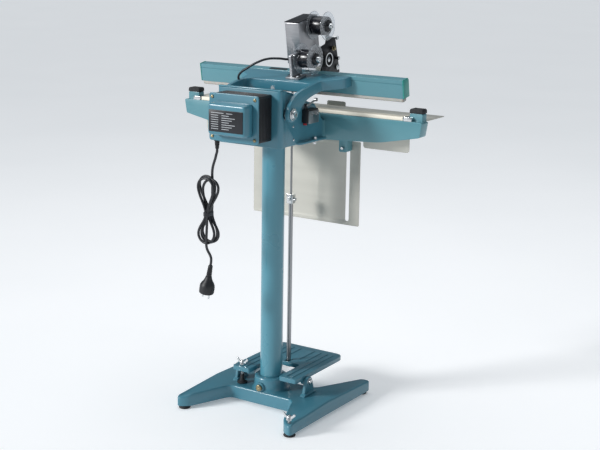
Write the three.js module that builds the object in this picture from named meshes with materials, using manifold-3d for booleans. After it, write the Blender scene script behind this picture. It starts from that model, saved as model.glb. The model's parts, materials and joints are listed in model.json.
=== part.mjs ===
// Pedal-operated impulse heat sealer on a column, with a ribbon date printer on its upper jaw.
// Millimetres, +Z up. The operator stands on the -Y side, so -X is the operator's left.
import * as THREE from 'three';
import { mergeVertices } from 'three/addons/utils/BufferGeometryUtils.js';
import Module from 'manifold-3d';

const wasm = await Module();
wasm.setup();

// ---------------------------------------------------------------- driving dimensions
const seat = 0.3;                 // gap left between two pieces that touch
const sheetThickness = 2;

const footHeight = 8;
const footRadius = 16;
const baseHeight = 36;            // casting, from its underside to the top of the legs
const baseWall = 7;
const legOuterX = 186;
const legRearY = 190;
const legFrontY = -218;

const columnRadius = 30;
const columnWall = 3;
const headBottom = 726;           // underside of the head above the floor
const collarTop = 82;
const collarRadius = columnRadius + 15;

const headHalfWidth = 94;
const headRearY = 117;
const headFrontY = -89;
const headHeight = 146;

const hingeY = 88;                // the upper jaw's hinge, from the column axis
const hingeHeight = 85;           // and above the head's underside
const openAngle = THREE.MathUtils.degToRad(9.6);
const shaftRadius = 8;
const washerRadius = 15.5;

const jawHalfLength = 372;        // lower jaw, half of its length
const jawBackY = -107;
const jawFrontY = -142;
const jawTop = 64;                // above the head's underside
const barHalfLength = jawHalfLength - 58;        // upper jaw bar
const tableFrontY = -235;

const boxHalfWidth = 70;          // timer box behind the head
const boxRearY = 177;
const boxBottom = 18;
const boxTop = 134;
const coverDepth = 32;

const pedalPivotY = -12;
const pedalPivotZ = 80;
const pedalHalfWidth = 103;
const pedalFrontY = -210;
const pedalRearY = 37;

const rodY = -87;                 // pull rod, in front of the column
const lowerRodRadius = 6;
const upperRodRadius = 3;
const couplerBottom = 541;
const couplerTop = 566;

const printerFrontY = -352;       // side plate of the printer, from the hinge axis, jaw closed
const printerLowZ = 12;
const flangeThickness = 4.7;      // timer box cover
const labelThickness = 1;

// The origin lies on the floor at the middle of the machine's depth, which sets the column's place.
const coverFaceY = boxRearY + seat + flangeThickness + coverDepth;
const rearmostY = coverFaceY + seat + labelThickness;
const frontmostY = hingeY + printerFrontY * Math.cos(openAngle) + printerLowZ * Math.sin(openAngle);
const columnY = -(rearmostY + frontmostY) / 2;

// ---------------------------------------------------------------- finishes
function finish(color, roughness, metalness = 0) {
  return new THREE.MeshStandardMaterial({ color, roughness, metalness });
}
const enamel = finish('#5f93a3', 0.45);
const greenEnamel = finish('#2c8a80', 0.45);
const blackPlastic = finish('#14161c', 0.5);
const blackRubber = finish('#17181b', 0.85);
const greySteel = finish('#8d8f90', 0.4, 0.9);
const chrome = finish('#c9ccce', 0.15, 1);
const brass = finish('#b9994f', 0.3, 1);
const plateSheet = finish('#b4b3ab', 0.5, 0.6);
const tapeCream = finish('#efe5cf', 0.6);
const siliconePink = finish('#a89a94', 0.7);
const clearPlastic = finish('#c3ccd6', 0.2);
const labelBlack = finish('#101218', 0.4);
const boardGreen = finish('#2e6b45', 0.6);

// ---------------------------------------------------------------- solid modelling helpers
function toSolid(geometry) {
  const bare = geometry.clone();
  bare.deleteAttribute('normal');
  bare.deleteAttribute('uv');
  const merged = mergeVertices(bare, 1e-4);
  const index = Array.from(merged.index.array);
  const faces = [];
  for (let i = 0; i < index.length; i += 3) {
    const [a, b, c] = index.slice(i, i + 3);
    if (a !== b && b !== c && c !== a) faces.push(a, b, c);
  }
  const vertProperties = new Float32Array(merged.attributes.position.array);
  if (signedVolume(vertProperties, faces) < 0) faces.reverse();
  const triVerts = new Uint32Array(faces);
  return new wasm.Manifold(new wasm.Mesh({ numProp: 3, vertProperties, triVerts }));
}

function signedVolume(positions, faces) {
  const corner = (i) => new THREE.Vector3().fromArray(positions, faces[i] * 3);
  let total = 0;
  for (let i = 0; i < faces.length; i += 3) {
    total += corner(i).dot(corner(i + 1).cross(corner(i + 2)));
  }
  return total;
}

function toGeometry(solid) {
  const mesh = solid.getMesh();
  const geometry = new THREE.BufferGeometry();
  geometry.setAttribute('position', new THREE.BufferAttribute(mesh.vertProperties, 3));
  geometry.setIndex(new THREE.BufferAttribute(mesh.triVerts, 1));
  geometry.computeVertexNormals();
  return geometry;
}

const join = (...solids) => solids.flat().reduce((whole, piece) => whole.add(piece));
const cut = (stock, ...tools) => tools.flat().reduce((whole, tool) => whole.subtract(tool), stock);
const sides = { left: -1, right: 1 };

// A corner is [u, v] or [u, v, radius].
function roundedShape(corners) {
  const shape = new THREE.Shape();
  const at = (i) => new THREE.Vector2(...corners[(i + corners.length) % corners.length].slice(0, 2));
  corners.forEach(([u, v, radius = 0], i) => {
    const corner = new THREE.Vector2(u, v);
    const entry = at(i - 1).sub(corner).setLength(radius).add(corner);
    const leave = at(i + 1).sub(corner).setLength(radius).add(corner);
    if (i === 0) shape.moveTo(entry.x, entry.y);
    else shape.lineTo(entry.x, entry.y);
    if (radius > 0) shape.quadraticCurveTo(u, v, leave.x, leave.y);
  });
  return shape;
}

// The outline lies in (y, z) for a sweep along x, in (x, z) along y and in (x, y) along z.
function prism(axis, corners, from, to, curveSegments = 3) {
  const options = { depth: to - from, bevelEnabled: false, curveSegments };
  const geometry = new THREE.ExtrudeGeometry(roundedShape(corners), options);
  const x = new THREE.Vector3(1, 0, 0);
  const y = new THREE.Vector3(0, 1, 0);
  const z = new THREE.Vector3(0, 0, 1);
  const turn = new THREE.Matrix4();
  if (axis === 'x') turn.makeBasis(y, z, x).setPosition(from, 0, 0);
  if (axis === 'y') turn.makeBasis(x, z, y.clone().negate()).setPosition(0, to, 0);
  if (axis === 'z') turn.makeBasis(x, y, z).setPosition(0, 0, from);
  return toSolid(geometry.applyMatrix4(turn));
}

function rectangle(u0, u1, v0, v1, radius = 0) {
  return [[u0, v0, radius], [u1, v0, radius], [u1, v1, radius], [u0, v1, radius]];
}

function circle(u, v, radius, count = 20) {
  const step = (2 * Math.PI) / count;
  const spot = (i) => [u + radius * Math.cos((i + 0.5) * step), v + radius * Math.sin((i + 0.5) * step)];
  return Array.from({ length: count }, (_, i) => spot(i));
}

function block(x0, x1, y0, y1, z0, z1) {
  return prism('z', rectangle(Math.min(x0, x1), Math.max(x0, x1), y0, y1), z0, z1);
}

function bar(axis, u, v, radius, from, to, count = 20) {
  return prism(axis, circle(u, v, radius, count), from, to);
}

// The profile is a list of [radius, place along the axis].
function lathe(axis, centre, profile, count = 20) {
  const points = profile.map(([radius, along]) => new THREE.Vector2(radius, along));
  const geometry = new THREE.LatheGeometry(points, count);
  if (axis === 'x') geometry.rotateZ(-Math.PI / 2);
  if (axis === 'z') geometry.rotateX(Math.PI / 2);
  geometry.translate(...centre);
  return toSolid(geometry);
}

function tube(points, radius, steps, count = 8) {
  const path = new THREE.CatmullRomCurve3(points.map((point) => new THREE.Vector3(...point)));
  const section = roundedShape(circle(0, 0, radius, count));
  return toSolid(new THREE.ExtrudeGeometry(section, { steps, extrudePath: path, bevelEnabled: false }));
}

const machine = new THREE.Group();
machine.position.set(0, columnY, 0);
const head = new THREE.Group();
head.position.set(0, 0, headBottom);
const yoke = new THREE.Group();
yoke.position.set(0, hingeY, hingeHeight);
yoke.rotation.x = -openAngle;
machine.add(head);
head.add(yoke);

function place(parent, name, material, solid) {
  const mesh = new THREE.Mesh(toGeometry(solid), material);
  mesh.name = name;
  parent.add(mesh);
}

// ---------------------------------------------------------------- base
const legTop = footHeight + baseHeight;
const footX = legOuterX - 18;
const footRearY = legRearY - 23;
const footFrontY = legFrontY + 18;
const lugInnerX = pedalHalfWidth + 2;
const lugOuterX = lugInnerX + 9;
const pedalShaftRadius = 6;
const clampScrewZ = 56;
const levelerX = -footX;

function basePlan() {
  const half = [
    [legOuterX - 4, legRearY, 12], [legOuterX - 35, legRearY - 16, 8], [100, 50, 14], [0, 44, 0],
  ];
  const front = [
    [0, -64, 0], [100, -64, 14], [legOuterX - 26, legFrontY, 8], [legOuterX + 2, legFrontY, 12], [legOuterX - 2, 0, 0],
  ];
  const right = [...front, ...half];
  const mirrored = right.filter(([x]) => x > 0).map(([x, y, radius]) => [-x, y, radius]).reverse();
  return [...right, ...mirrored];
}

function insetPlan(thickness) {
  return [
    [legOuterX - thickness - 8, legRearY - 50], [legOuterX - 31, legRearY - 50], [112, 44], [112, -58],
    [legOuterX - 26, legFrontY + 46], [legOuterX - thickness - 3, legFrontY + 46],
  ];
}

function baseCasting() {
  const sideView = [
    [legRearY + 5, footHeight], [legRearY + 5, legTop - 12, 10], [legRearY - 40, legTop],
    [-70, legTop], [legFrontY - 5, legTop - 8, 6], [legFrontY - 5, footHeight],
  ];
  const plan = prism('z', basePlan(), footHeight, legTop);
  const legs = plan.intersect(prism('x', sideView, -legOuterX - 20, legOuterX + 20));
  const pockets = Object.values(sides).map((side) => {
    const outline = insetPlan(baseWall).map(([x, y]) => [side * x, y]);
    return prism('z', outline, footHeight - 1, legTop - baseWall - 5);
  });
  const middle = block(-100, 100, -64 + baseWall, 44 - baseWall, footHeight - 1, legTop - baseWall);
  const socket = bar('z', 0, 0, collarRadius + 2, footHeight, legTop, 32);
  const hollow = cut(middle, socket);
  const collar = lathe('z', [0, 0, 0], [
    [0, footHeight], [collarRadius + 2, footHeight], [collarRadius + 2, legTop + 6],
    [collarRadius, legTop + 12], [collarRadius, collarTop - 3], [collarRadius - 3, collarTop], [0, collarTop],
  ], 32);
  const pad = bar('y', 4, clampScrewZ, 13, columnRadius, collarRadius + 6, 20);
  const bore = bar('z', 0, 0, columnRadius + seat, footHeight + 6, collarTop + 1, 32);
  const screwHole = bar('y', 4, clampScrewZ, 4 + seat, 0, collarRadius + 7, 16);
  const lugs = Object.values(sides).map((side) => {
    const outline = [
      [pedalPivotY + 24, legTop - 4], [pedalPivotY + 12, pedalPivotZ + 12, 10],
      [pedalPivotY - 12, pedalPivotZ + 12, 10], [pedalPivotY - 30, legTop - 4],
    ];
    const ends = [side * lugInnerX, side * lugOuterX].sort((a, b) => a - b);
    return prism('x', outline, ...ends);
  });
  const shaftHole = bar('x', pedalPivotY, pedalPivotZ, pedalShaftRadius + seat, -lugOuterX - 1, lugOuterX + 1, 20);
  const levelerHole = bar('z', levelerX, footRearY + 3, 4 + seat, footHeight + 12, legTop + 2, 16);
  return cut(join(legs, collar, pad, lugs), hollow, pockets, bore, screwHole, shaftHole, levelerHole);
}

place(machine, 'base_casting', enamel, baseCasting());
for (const [sideName, side] of Object.entries(sides)) {
  for (const [endName, y] of [['back', footRearY], ['front', footFrontY]]) {
    const profile = [
      [0, 0], [footRadius - 2, 0], [footRadius, 2], [footRadius - 2, footHeight - seat], [0, footHeight - seat],
    ];
    place(machine, `foot_${endName}_${sideName}`, blackRubber, lathe('z', [side * footX, y, 0], profile, 20));
  }
}

function screwWithWings(x, y, low, high, radius, hubRadius) {
  const hub = high - 16;
  const stem = lathe('z', [x, y, 0], [
    [0, low], [radius, low], [radius, hub], [hubRadius, hub], [hubRadius, high - 4], [0, high - 4],
  ], 16);
  const wing = [
    [-17, high, 4], [-15, high - 9, 4], [-hubRadius + 2, hub], [hubRadius - 2, hub],
    [15, high - 9, 4], [17, high, 4], [hubRadius - 2, high - 6], [-hubRadius + 2, high - 6],
  ];
  return join(stem, prism('y', wing.map(([u, v, r]) => [x + u, v, r]), y - 1.5, y + 1.5));
}

const levelerLow = footHeight + 12 + seat;
place(machine, 'leveling_screw', chrome, screwWithWings(levelerX, footRearY + 3, levelerLow, legTop + 20, 4, 7));
place(machine, 'column_clamp_screw', brass, cut(
  lathe('y', [4, 0, clampScrewZ], [
    [0, columnRadius + 2 * seat], [4, columnRadius + 2 * seat], [4, collarRadius + 6 + seat],
    [9, collarRadius + 6 + seat], [9, collarRadius + 11], [7.5, collarRadius + 12], [0, collarRadius + 12],
  ], 20),
  block(-6, 14, collarRadius + 9.5, collarRadius + 13, clampScrewZ - 1, clampScrewZ + 1),
));

// ---------------------------------------------------------------- column
const columnFoot = footHeight + 6 + seat;
const columnTopInHead = 28;
place(machine, 'column_tube', enamel, lathe('z', [0, 0, 0], [
  [columnRadius - columnWall, columnFoot], [columnRadius, columnFoot],
  [columnRadius, headBottom + columnTopInHead], [columnRadius - columnWall, headBottom + columnTopInHead],
  [columnRadius - columnWall, columnFoot],
], 32));

// ---------------------------------------------------------------- pedal
const pedalTop = 96;
const pedalPlate = 4;
const pedalRim = 12;
const armInnerX = 48;
const cutoutFrontY = -71;
const rodPinZ = 85;
const rodPinRadius = 3;
const stopX = 83;
const stopY = 18;

function pedalPlan(inset) {
  const w = pedalHalfWidth - inset;
  const a = armInnerX + inset;
  const rear = pedalRearY - inset;
  const front = pedalFrontY + inset;
  const throat = cutoutFrontY - inset;
  return [
    [-w, front, 22], [w, front, 22], [w, rear, 8], [a, rear, 6], [a, throat, 8],
    [-a, throat, 8], [-a, rear, 6], [-w, rear, 8],
  ];
}

function pedal() {
  const shell = cut(
    prism('z', pedalPlan(0), pedalTop - pedalRim, pedalTop),
    prism('z', pedalPlan(4), pedalTop - pedalRim - 1, pedalTop - pedalPlate),
  );
  const ears = Object.values(sides).map((side) => {
    const outline = [
      [pedalPivotY + 16, pedalTop - 2], [pedalPivotY + 10, pedalPivotZ - 10, 9],
      [pedalPivotY - 10, pedalPivotZ - 10, 9], [pedalPivotY - 16, pedalTop - 2],
    ];
    const ends = [side * (pedalHalfWidth - 9), side * pedalHalfWidth].sort((a, b) => a - b);
    return prism('x', outline, ...ends);
  });
  const pinEars = Object.values(sides).map((side) => {
    const ends = [side * 8.5, side * 13].sort((a, b) => a - b);
    return prism('x', [
      [rodY + 12, pedalTop - 2], [rodY + 5, rodPinZ - 6, 4], [rodY - 5, rodPinZ - 6, 4], [rodY - 12, pedalTop - 2],
    ], ...ends);
  });
  const pinHole = bar('x', rodY, rodPinZ, rodPinRadius + seat, -14, 14, 16);
  const trunnions = Object.values(sides).map((side) => {
    const ends = [side * (pedalHalfWidth - 4), side * (lugOuterX + 1)].sort((a, b) => a - b);
    return bar('x', pedalPivotY, pedalPivotZ, pedalShaftRadius, ...ends, 20);
  });
  const tread = (x, rearY) => block(x - 1.5, x + 1.5, pedalFrontY + 24, rearY, pedalTop - 1, pedalTop + 1.5);
  const ribs = [-84, -66, 66, 84].map((x) => tread(x, pedalRearY - 10));
  const treads = [-45, -22, 22, 45].map((x) => tread(x, cutoutFrontY - 34));
  const slot = prism('z', rectangle(-8, 8, rodY - 13, rodY + 11, 5), pedalTop - pedalRim - 1, pedalTop + 3);
  const stopHole = bar('z', stopX, stopY, 4 + seat, pedalTop - pedalRim, pedalTop + 2, 16);
  const stopSeat = bar('z', stopX, stopY, 9, pedalTop - 0.01, pedalTop + 2, 20);
  return cut(join(shell, ears, pinEars, ribs, treads, trunnions), slot, pinHole, stopHole, stopSeat);
}

function stopScrew() {
  const bumper = legTop + seat;
  const nutTop = pedalTop - pedalPlate - seat;
  const profile = [
    [0, bumper], [14, bumper], [14, bumper + 3], [9, bumper + 11], [8, bumper + 24], [4, bumper + 25],
    [4, nutTop - 9], [8, nutTop - 9], [8, nutTop], [4, nutTop], [4, pedalTop + seat], [8, pedalTop + seat],
    [8, pedalTop + 4], [4, pedalTop + 4], [4, pedalTop + 20], [0, pedalTop + 20],
  ];
  const wing = [
    [-17, 16, 4], [-14, 6, 4], [-6, 3], [6, 3], [14, 6, 4], [17, 16, 4], [6, 10], [-6, 10],
  ].map(([u, v, r]) => [stopX + u, pedalTop + v + 1, r]);
  return join(lathe('z', [stopX, stopY, 0], profile, 16), prism('y', wing, stopY - 1.5, stopY + 1.5));
}

place(machine, 'pedal_plate', enamel, pedal());
place(machine, 'rod_pin', greySteel, lathe('x', [0, rodY, rodPinZ], [
  [0, -14.5], [5, -14.5], [5, -13 - seat], [rodPinRadius, -13 - seat], [rodPinRadius, 15], [0, 15],
], 16));
place(machine, 'stop_screw', chrome, stopScrew());

// ---------------------------------------------------------------- pull rod
const rodJoint = (couplerBottom + couplerTop) / 2;
const springBottom = 8 + seat;
const springTop = 44;
const rodNutBottom = headBottom + 165;

function lowerRod() {
  const eye = bar('x', rodY, rodPinZ, 8, -6, 6, 20);
  const stem = lathe('z', [0, rodY, 0], [
    [0, rodPinZ + 4], [lowerRodRadius - 0.5, rodPinZ + 4], [lowerRodRadius, rodPinZ + 16],
    [lowerRodRadius, rodJoint - seat], [0, rodJoint - seat],
  ], 16);
  return cut(join(eye, stem), bar('x', rodY, rodPinZ, rodPinRadius + seat, -7, 7, 16));
}

place(machine, 'lower_pull_rod', greySteel, lowerRod());
place(machine, 'rod_coupler', greySteel, lathe('z', [0, rodY, 0], [
  [lowerRodRadius + seat, couplerBottom], [9.5, couplerBottom], [10.5, couplerBottom + 2],
  [10.5, couplerTop - 2], [9.5, couplerTop], [upperRodRadius + seat, couplerTop],
  [upperRodRadius + seat, rodJoint], [lowerRodRadius + seat, rodJoint], [lowerRodRadius + seat, couplerBottom],
], 16));
place(machine, 'upper_pull_rod', greySteel, lathe('z', [0, rodY, 0], [
  [0, rodJoint + seat], [upperRodRadius, rodJoint + seat], [upperRodRadius, headBottom + springTop + seat],
  [8, headBottom + springTop + seat], [8, headBottom + springTop + 6], [upperRodRadius, headBottom + springTop + 6],
  [upperRodRadius, rodNutBottom], [9, rodNutBottom], [9, rodNutBottom + 8], [0, rodNutBottom + 9],
], 16));
place(head, 'return_spring', greySteel, lathe('z', [0, rodY, 0], [
  [5, springBottom], [8, springBottom], [8, springTop], [5, springTop], [5, springBottom],
], 20));

// ---------------------------------------------------------------- head
const headWall = 6;
const coverThickness = 3;
const headProfile = [
  [106, headHeight], [63, headHeight - 12], [-11, headHeight - 40], [-46, headHeight - 50], [-78, headHeight - 86],
];
const socketRadius = columnRadius + 9;
const knobY = 20;                 // timer knob and rocker switch on the head's right side
const knobZ = 62;
const rockerY = -38;
const rockerX = headHalfWidth - 3;

function headSideOutline(drop) {
  const top = headProfile.map(([y, z]) => [y, z - drop]);
  return [[headRearY, 0], [headRearY, top[0][1]], ...top, [headFrontY, top.at(-1)[1] - 6], [headFrontY, 0]];
}

function headFrame() {
  const drop = coverThickness + seat;
  const stepX = headHalfWidth + 3;
  const stepY = 97;
  const plan = [
    [-headHalfWidth, headFrontY], [headHalfWidth, headFrontY], [headHalfWidth, stepY], [stepX, stepY],
    [stepX, headRearY, 12], [-stepX, headRearY, 12], [-stepX, stepY], [-headHalfWidth, stepY],
  ];
  const shell = prism('x', headSideOutline(drop), -stepX, stepX).intersect(prism('z', plan, -1, headHeight + 1));
  const insideX = headHalfWidth - headWall;
  const inside = block(-insideX, insideX, headFrontY - 2, headRearY - 8, 8, headHeight + 2);
  const ledges = Object.values(sides).map((side) => {
    const outline = [[side * 90, 40], [side * 90, headFrontY], [side * 107, headFrontY, 5], [side * 107, 34, 10]];
    return prism('z', outline, 0, 6);
  });
  const socket = bar('z', 0, 0, socketRadius, 0, columnTopInHead + 2, 32);
  const bosses = Object.values(sides).map((side) => {
    const ends = [side * (headHalfWidth - headWall - 6), side * headHalfWidth].sort((a, b) => a - b);
    return bar('x', hingeY, hingeHeight, 16, ...ends, 24);
  });
  const columnBore = bar('z', 0, 0, columnRadius + seat, -1, columnTopInHead + seat, 32);
  const hingeHole = bar('x', hingeY, hingeHeight, shaftRadius + seat, -headHalfWidth - 4, headHalfWidth + 4, 24);
  const spotFaces = Object.values(sides).map((side) => {
    const ends = [side * headHalfWidth, side * (stepX + 1)].sort((a, b) => a - b);
    return bar('x', hingeY, hingeHeight, washerRadius + 1.5, ...ends, 24);
  });
  const rodSlot = block(-6, 6, headFrontY - 2, rodY + 9, -1, 9);
  const wireHole = bar('y', 30, 40, 8, headRearY - 12, headRearY + 2, 16);
  const knobHole = bar('x', knobY, knobZ, 4 + seat, headHalfWidth - 8, headHalfWidth + 2, 16);
  const windowOutline = rectangle(rockerY - 8, rockerY + 8, knobZ - 13.3, knobZ + 13.3);
  const rockerWindow = prism('x', windowOutline, headHalfWidth - 8, headHalfWidth + 2);
  const body = cut(shell, inside);
  const holes = [columnBore, hingeHole, spotFaces, rodSlot, wireHole, knobHole, rockerWindow];
  return cut(join(body, ledges, socket, bosses), ...holes);
}

function headCover() {
  const under = headProfile.map(([y, z]) => [y, z - coverThickness]).reverse();
  const rear = [[headRearY - 1, headHeight - coverThickness], [headRearY - 1, headHeight]];
  return prism('x', [...rear, ...headProfile, ...under], -headHalfWidth, headHalfWidth);
}

place(head, 'head_frame', enamel, headFrame());
place(head, 'head_cover', enamel, headCover());
place(head, 'pilot_lamp', clearPlastic, lathe('z', [-61, 100, headHeight + seat], [
  [0, 0], [5, 0], [5, 5], [3, 8], [0, 8.5],
], 16));

const armInner = headHalfWidth + 9;
const armOuter = armInner + 11;
const shaftEnd = armOuter + 9;
place(head, 'hinge_shaft', chrome, lathe('x', [0, hingeY, hingeHeight], [
  [0, -shaftEnd], [9, -shaftEnd], [9, -armOuter - 3], [washerRadius, -armOuter - 3], [washerRadius, -armOuter - seat],
  [shaftRadius, -armOuter - seat], [shaftRadius, -armInner + seat], [washerRadius, -armInner + seat],
  [washerRadius, -headHalfWidth - seat], [shaftRadius, -headHalfWidth - seat],
  [shaftRadius, headHalfWidth + seat], [washerRadius, headHalfWidth + seat], [washerRadius, armInner - seat],
  [shaftRadius, armInner - seat], [shaftRadius, armOuter + seat], [washerRadius, armOuter + seat],
  [washerRadius, armOuter + 3], [9, armOuter + 3], [9, shaftEnd], [0, shaftEnd],
], 16));

const coreBottom = columnTopInHead + 2 + seat;
place(head, 'transformer', greySteel, join(
  block(-42, 42, -30, 34, coreBottom, coreBottom + 5),
  block(-34, 34, -22, 26, coreBottom, coreBottom + 54),
  prism('z', rectangle(-20, 20, -34, 38, 6), coreBottom + 10, coreBottom + 44),
));

// ---------------------------------------------------------------- lower jaw and table
const postOuter = jawHalfLength - 5;
const postInner = postOuter - 36;
const postHeight = 20;
const postBackY = -119;
const anvilBackY = -111;
const anvilFrontY = -138;
const anvilTop = jawTop + 8;
const clampInner = barHalfLength + 4;
const clampOuter = clampInner + 24;
const boltX = 133;
const padHalfWidth = headHalfWidth - headWall;    // face bolted to the head
const boltHeight = -27;
const boltEndY = -122;
const plateY = -160;

function lowerJaw() {
  const bendX = jawHalfLength - 121;
  const outline = [
    [-jawHalfLength, jawTop - 3, 0], [-jawHalfLength + 6, 25, 4], [-bendX, 2, 20], [-padHalfWidth - 2, -6, 20],
    [padHalfWidth + 2, -6, 20], [bendX, 2, 20], [jawHalfLength - 6, 25, 4], [jawHalfLength, jawTop - 3],
    [jawHalfLength - 3, jawTop], [-jawHalfLength + 3, jawTop],
  ];
  const beam = prism('y', outline, jawFrontY, jawBackY);
  const posts = Object.values(sides).map((side) => {
    const ends = [side * postInner, side * postOuter].sort((a, b) => a - b);
    const top = jawTop + postHeight;
    const post = [[ends[0], jawTop - 2], [ends[1], jawTop - 2], [ends[1], top, 3], [ends[0], top, 3]];
    return prism('y', post, jawFrontY, postBackY);
  });
  const anvil = block(-clampInner + 2, clampInner - 2, anvilFrontY, anvilBackY, jawTop - 1, anvilTop);
  const pad = block(-padHalfWidth, padHalfWidth, jawBackY - 1, headFrontY - seat, -6, 46);
  const channel = block(-11, 11, -101.5, headFrontY + 1, -8, anvilTop);
  const hangers = Object.values(sides).map((side) => {
    const face = rectangle(side * boltX - 12, side * boltX + 12, boltHeight - 11, 6, 5);
    return prism('y', face, plateY + sheetThickness + seat, boltEndY - 6);
  });
  const boltHoles = Object.values(sides).map((side) => {
    return bar('y', side * boltX, boltHeight, 4 + seat, plateY - 2, boltEndY + 2, 16);
  });
  const pockets = Object.values(sides).map((side) => {
    const ends = [side * 160, side * (jawHalfLength - 52)].sort((a, b) => a - b);
    return prism('y', rectangle(ends[0], ends[1], 28, jawTop - 12), jawFrontY - 1, jawBackY - 7);
  });
  const reachIn = block(-30, 30, jawFrontY - 1, -114, 8, jawTop - 14);
  return cut(join(beam, posts, anvil, pad, hangers), channel, boltHoles, pockets, reachIn);
}

place(head, 'lower_jaw_beam', enamel, lowerJaw());
place(head, 'heating_band', greySteel, block(-clampInner + 1, clampInner - 1, -127, -121, anvilTop + seat, anvilTop + 0.8));
place(head, 'ptfe_cover', tapeCream, cut(
  block(-clampInner + 2, clampInner - 2, anvilFrontY - 0.9, anvilBackY + 0.9, jawTop + 0.5, anvilTop + 1.8),
  block(-clampInner, clampInner, anvilFrontY - seat, anvilBackY + seat, jawTop - 1, anvilTop + 1.2),
));
for (const [sideName, side] of Object.entries(sides)) {
  const ends = [side * (clampInner + seat), side * clampOuter].sort((a, b) => a - b);
  const lugEnds = [side * (clampInner + seat), side * (postInner - 1)].sort((a, b) => a - b);
  const clamp = join(
    prism('z', rectangle(...ends, -118.4, jawBackY - 0.5, 1.5), jawTop + seat, anvilTop + 2),
    prism('z', rectangle(...lugEnds, anvilFrontY + 2, anvilBackY + 1, 1), jawTop + seat, anvilTop + 2),
  );
  place(head, `band_clamp_${sideName}`, chrome, clamp);
  const capEnds = [side * (postInner - 1), side * (postOuter + 1)].sort((a, b) => a - b);
  place(head, `jaw_cap_${sideName}`, blackRubber, prism('y', rectangle(
    ...capEnds, jawTop + postHeight + seat, jawTop + postHeight + 12, 3), jawFrontY - 1, postBackY + 1));
}

function workTable() {
  const top = jawTop + 3;
  const topPlan = rectangle(-jawHalfLength, jawHalfLength, tableFrontY, jawFrontY - seat - 1, 3);
  const sheetTop = prism('z', topPlan, top - sheetThickness, top);
  const flangeX = jawHalfLength - 51;
  const rearFace = [
    [-flangeX, top], [-flangeX, -23, 8], [-186, -23, 8], [-186, 30, 8],
    [186, 30, 8], [186, -23, 8], [flangeX, -23, 8], [flangeX, top],
  ];
  const rearFlange = prism('y', rearFace, jawFrontY - seat - sheetThickness, jawFrontY - seat);
  const lipFace = [[-77, top - 1], [-77, top + 12, 5], [-19, top + 12, 5], [-19, top - 1]];
  const lip = prism('y', lipFace, tableFrontY, tableFrontY + sheetThickness);
  return join(sheetTop, rearFlange, lip);
}

place(head, 'work_table', plateSheet, workTable());

const plateHalfWidth = 170;
const plateBottom = -241;
const plateTop = -12;
const plateSlotHalf = 5.5;
const slotLow = -230;
place(head, 'hanging_plate', plateSheet, cut(
  prism('y', rectangle(-plateHalfWidth, plateHalfWidth, plateBottom, plateTop, 4), plateY, plateY + sheetThickness),
  Object.values(sides).map((side) => prism('y', rectangle(
    side * boltX - plateSlotHalf, side * boltX + plateSlotHalf, slotLow, boltHeight + plateSlotHalf, plateSlotHalf,
  ), plateY - 1, plateY + sheetThickness + 1)),
));
for (const [sideName, side] of Object.entries(sides)) {
  place(head, `plate_bolt_${sideName}`, chrome, lathe('y', [side * boltX, 0, boltHeight], [
    [0, plateY - 7], [6, plateY - 7], [9, plateY - 6], [9, plateY - seat], [4, plateY - seat], [4, boltEndY], [0, boltEndY],
  ], 16));
}

// ---------------------------------------------------------------- timer box behind the head
const boxWall = 3;
const boxFrontY = headRearY + seat;
const boardY = boxFrontY + boxWall + 14;
const glandX = boxHalfWidth - 9;
const glandY = 166;
const flangeHalfWidth = boxHalfWidth + 4;
const flangeBackY = boxRearY + seat + flangeThickness;

function controlBox() {
  const outer = prism('y', rectangle(-boxHalfWidth, boxHalfWidth, boxBottom, boxTop, 4), boxFrontY, boxRearY);
  const innerX = boxHalfWidth - boxWall;
  const inner = block(-innerX, innerX, boxFrontY + boxWall, boxRearY + 1, boxBottom + boxWall, boxTop - boxWall);
  const postPlaces = [[-40, 45], [-40, 110], [40, 45], [40, 110]];
  const posts = postPlaces.map(([x, z]) => bar('y', x, z, 4, boxFrontY + 1, boardY - seat, 12));
  const glandHole = bar('z', glandX, glandY, 4.3, boxBottom - 1, boxBottom + 5, 16);
  const wireHole = bar('y', 30, 40, 8, boxFrontY - 1, boxFrontY + boxWall + 1, 16);
  return cut(join(cut(outer, inner), posts), glandHole, wireHole);
}

function boxCover() {
  const flangeFace = rectangle(-flangeHalfWidth, flangeHalfWidth, boxBottom - 2, boxTop + 2, 6);
  const flange = prism('y', flangeFace, boxRearY + seat, flangeBackY);
  const raised = prism('y', rectangle(-56, 56, boxBottom + 18, boxTop - 20, 9), flangeBackY - 1, coverFaceY);
  const hollow = prism('y', rectangle(-52, 52, boxBottom + 22, boxTop - 24, 6), boxRearY - 1, coverFaceY - 4);
  return cut(join(flange, raised), hollow);
}

function timerBoard() {
  const board = block(-50, 50, boardY, boardY + 1.6, 38, 118);
  const relay = block(-38, -14, boardY + 1, boardY + 17, 80, 108);
  const capacitor = bar('y', 20, 94, 9, boardY + 1, boardY + 24, 16);
  const terminals = block(-40, 40, boardY + 1, boardY + 11, 42, 54);
  return join(board, relay, capacitor, terminals);
}

place(head, 'control_box', blackPlastic, controlBox());
place(head, 'control_box_cover', enamel, boxCover());
place(head, 'rating_plate', labelBlack, prism(
  'y', rectangle(-51, 51, boxBottom + 27, boxTop - 35, 1), coverFaceY + seat, rearmostY,
));
place(head, 'timer_board', boardGreen, timerBoard());
const glandBottom = boxBottom - 26;
place(head, 'cable_gland', blackRubber, lathe('z', [glandX, glandY, 0], [
  [0, glandBottom], [4.5, glandBottom], [6.5, boxBottom - 6], [8, boxBottom - 5], [8, boxBottom - seat],
  [4, boxBottom - seat], [4, boxBottom + 6], [0, boxBottom + 6],
], 16));

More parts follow.
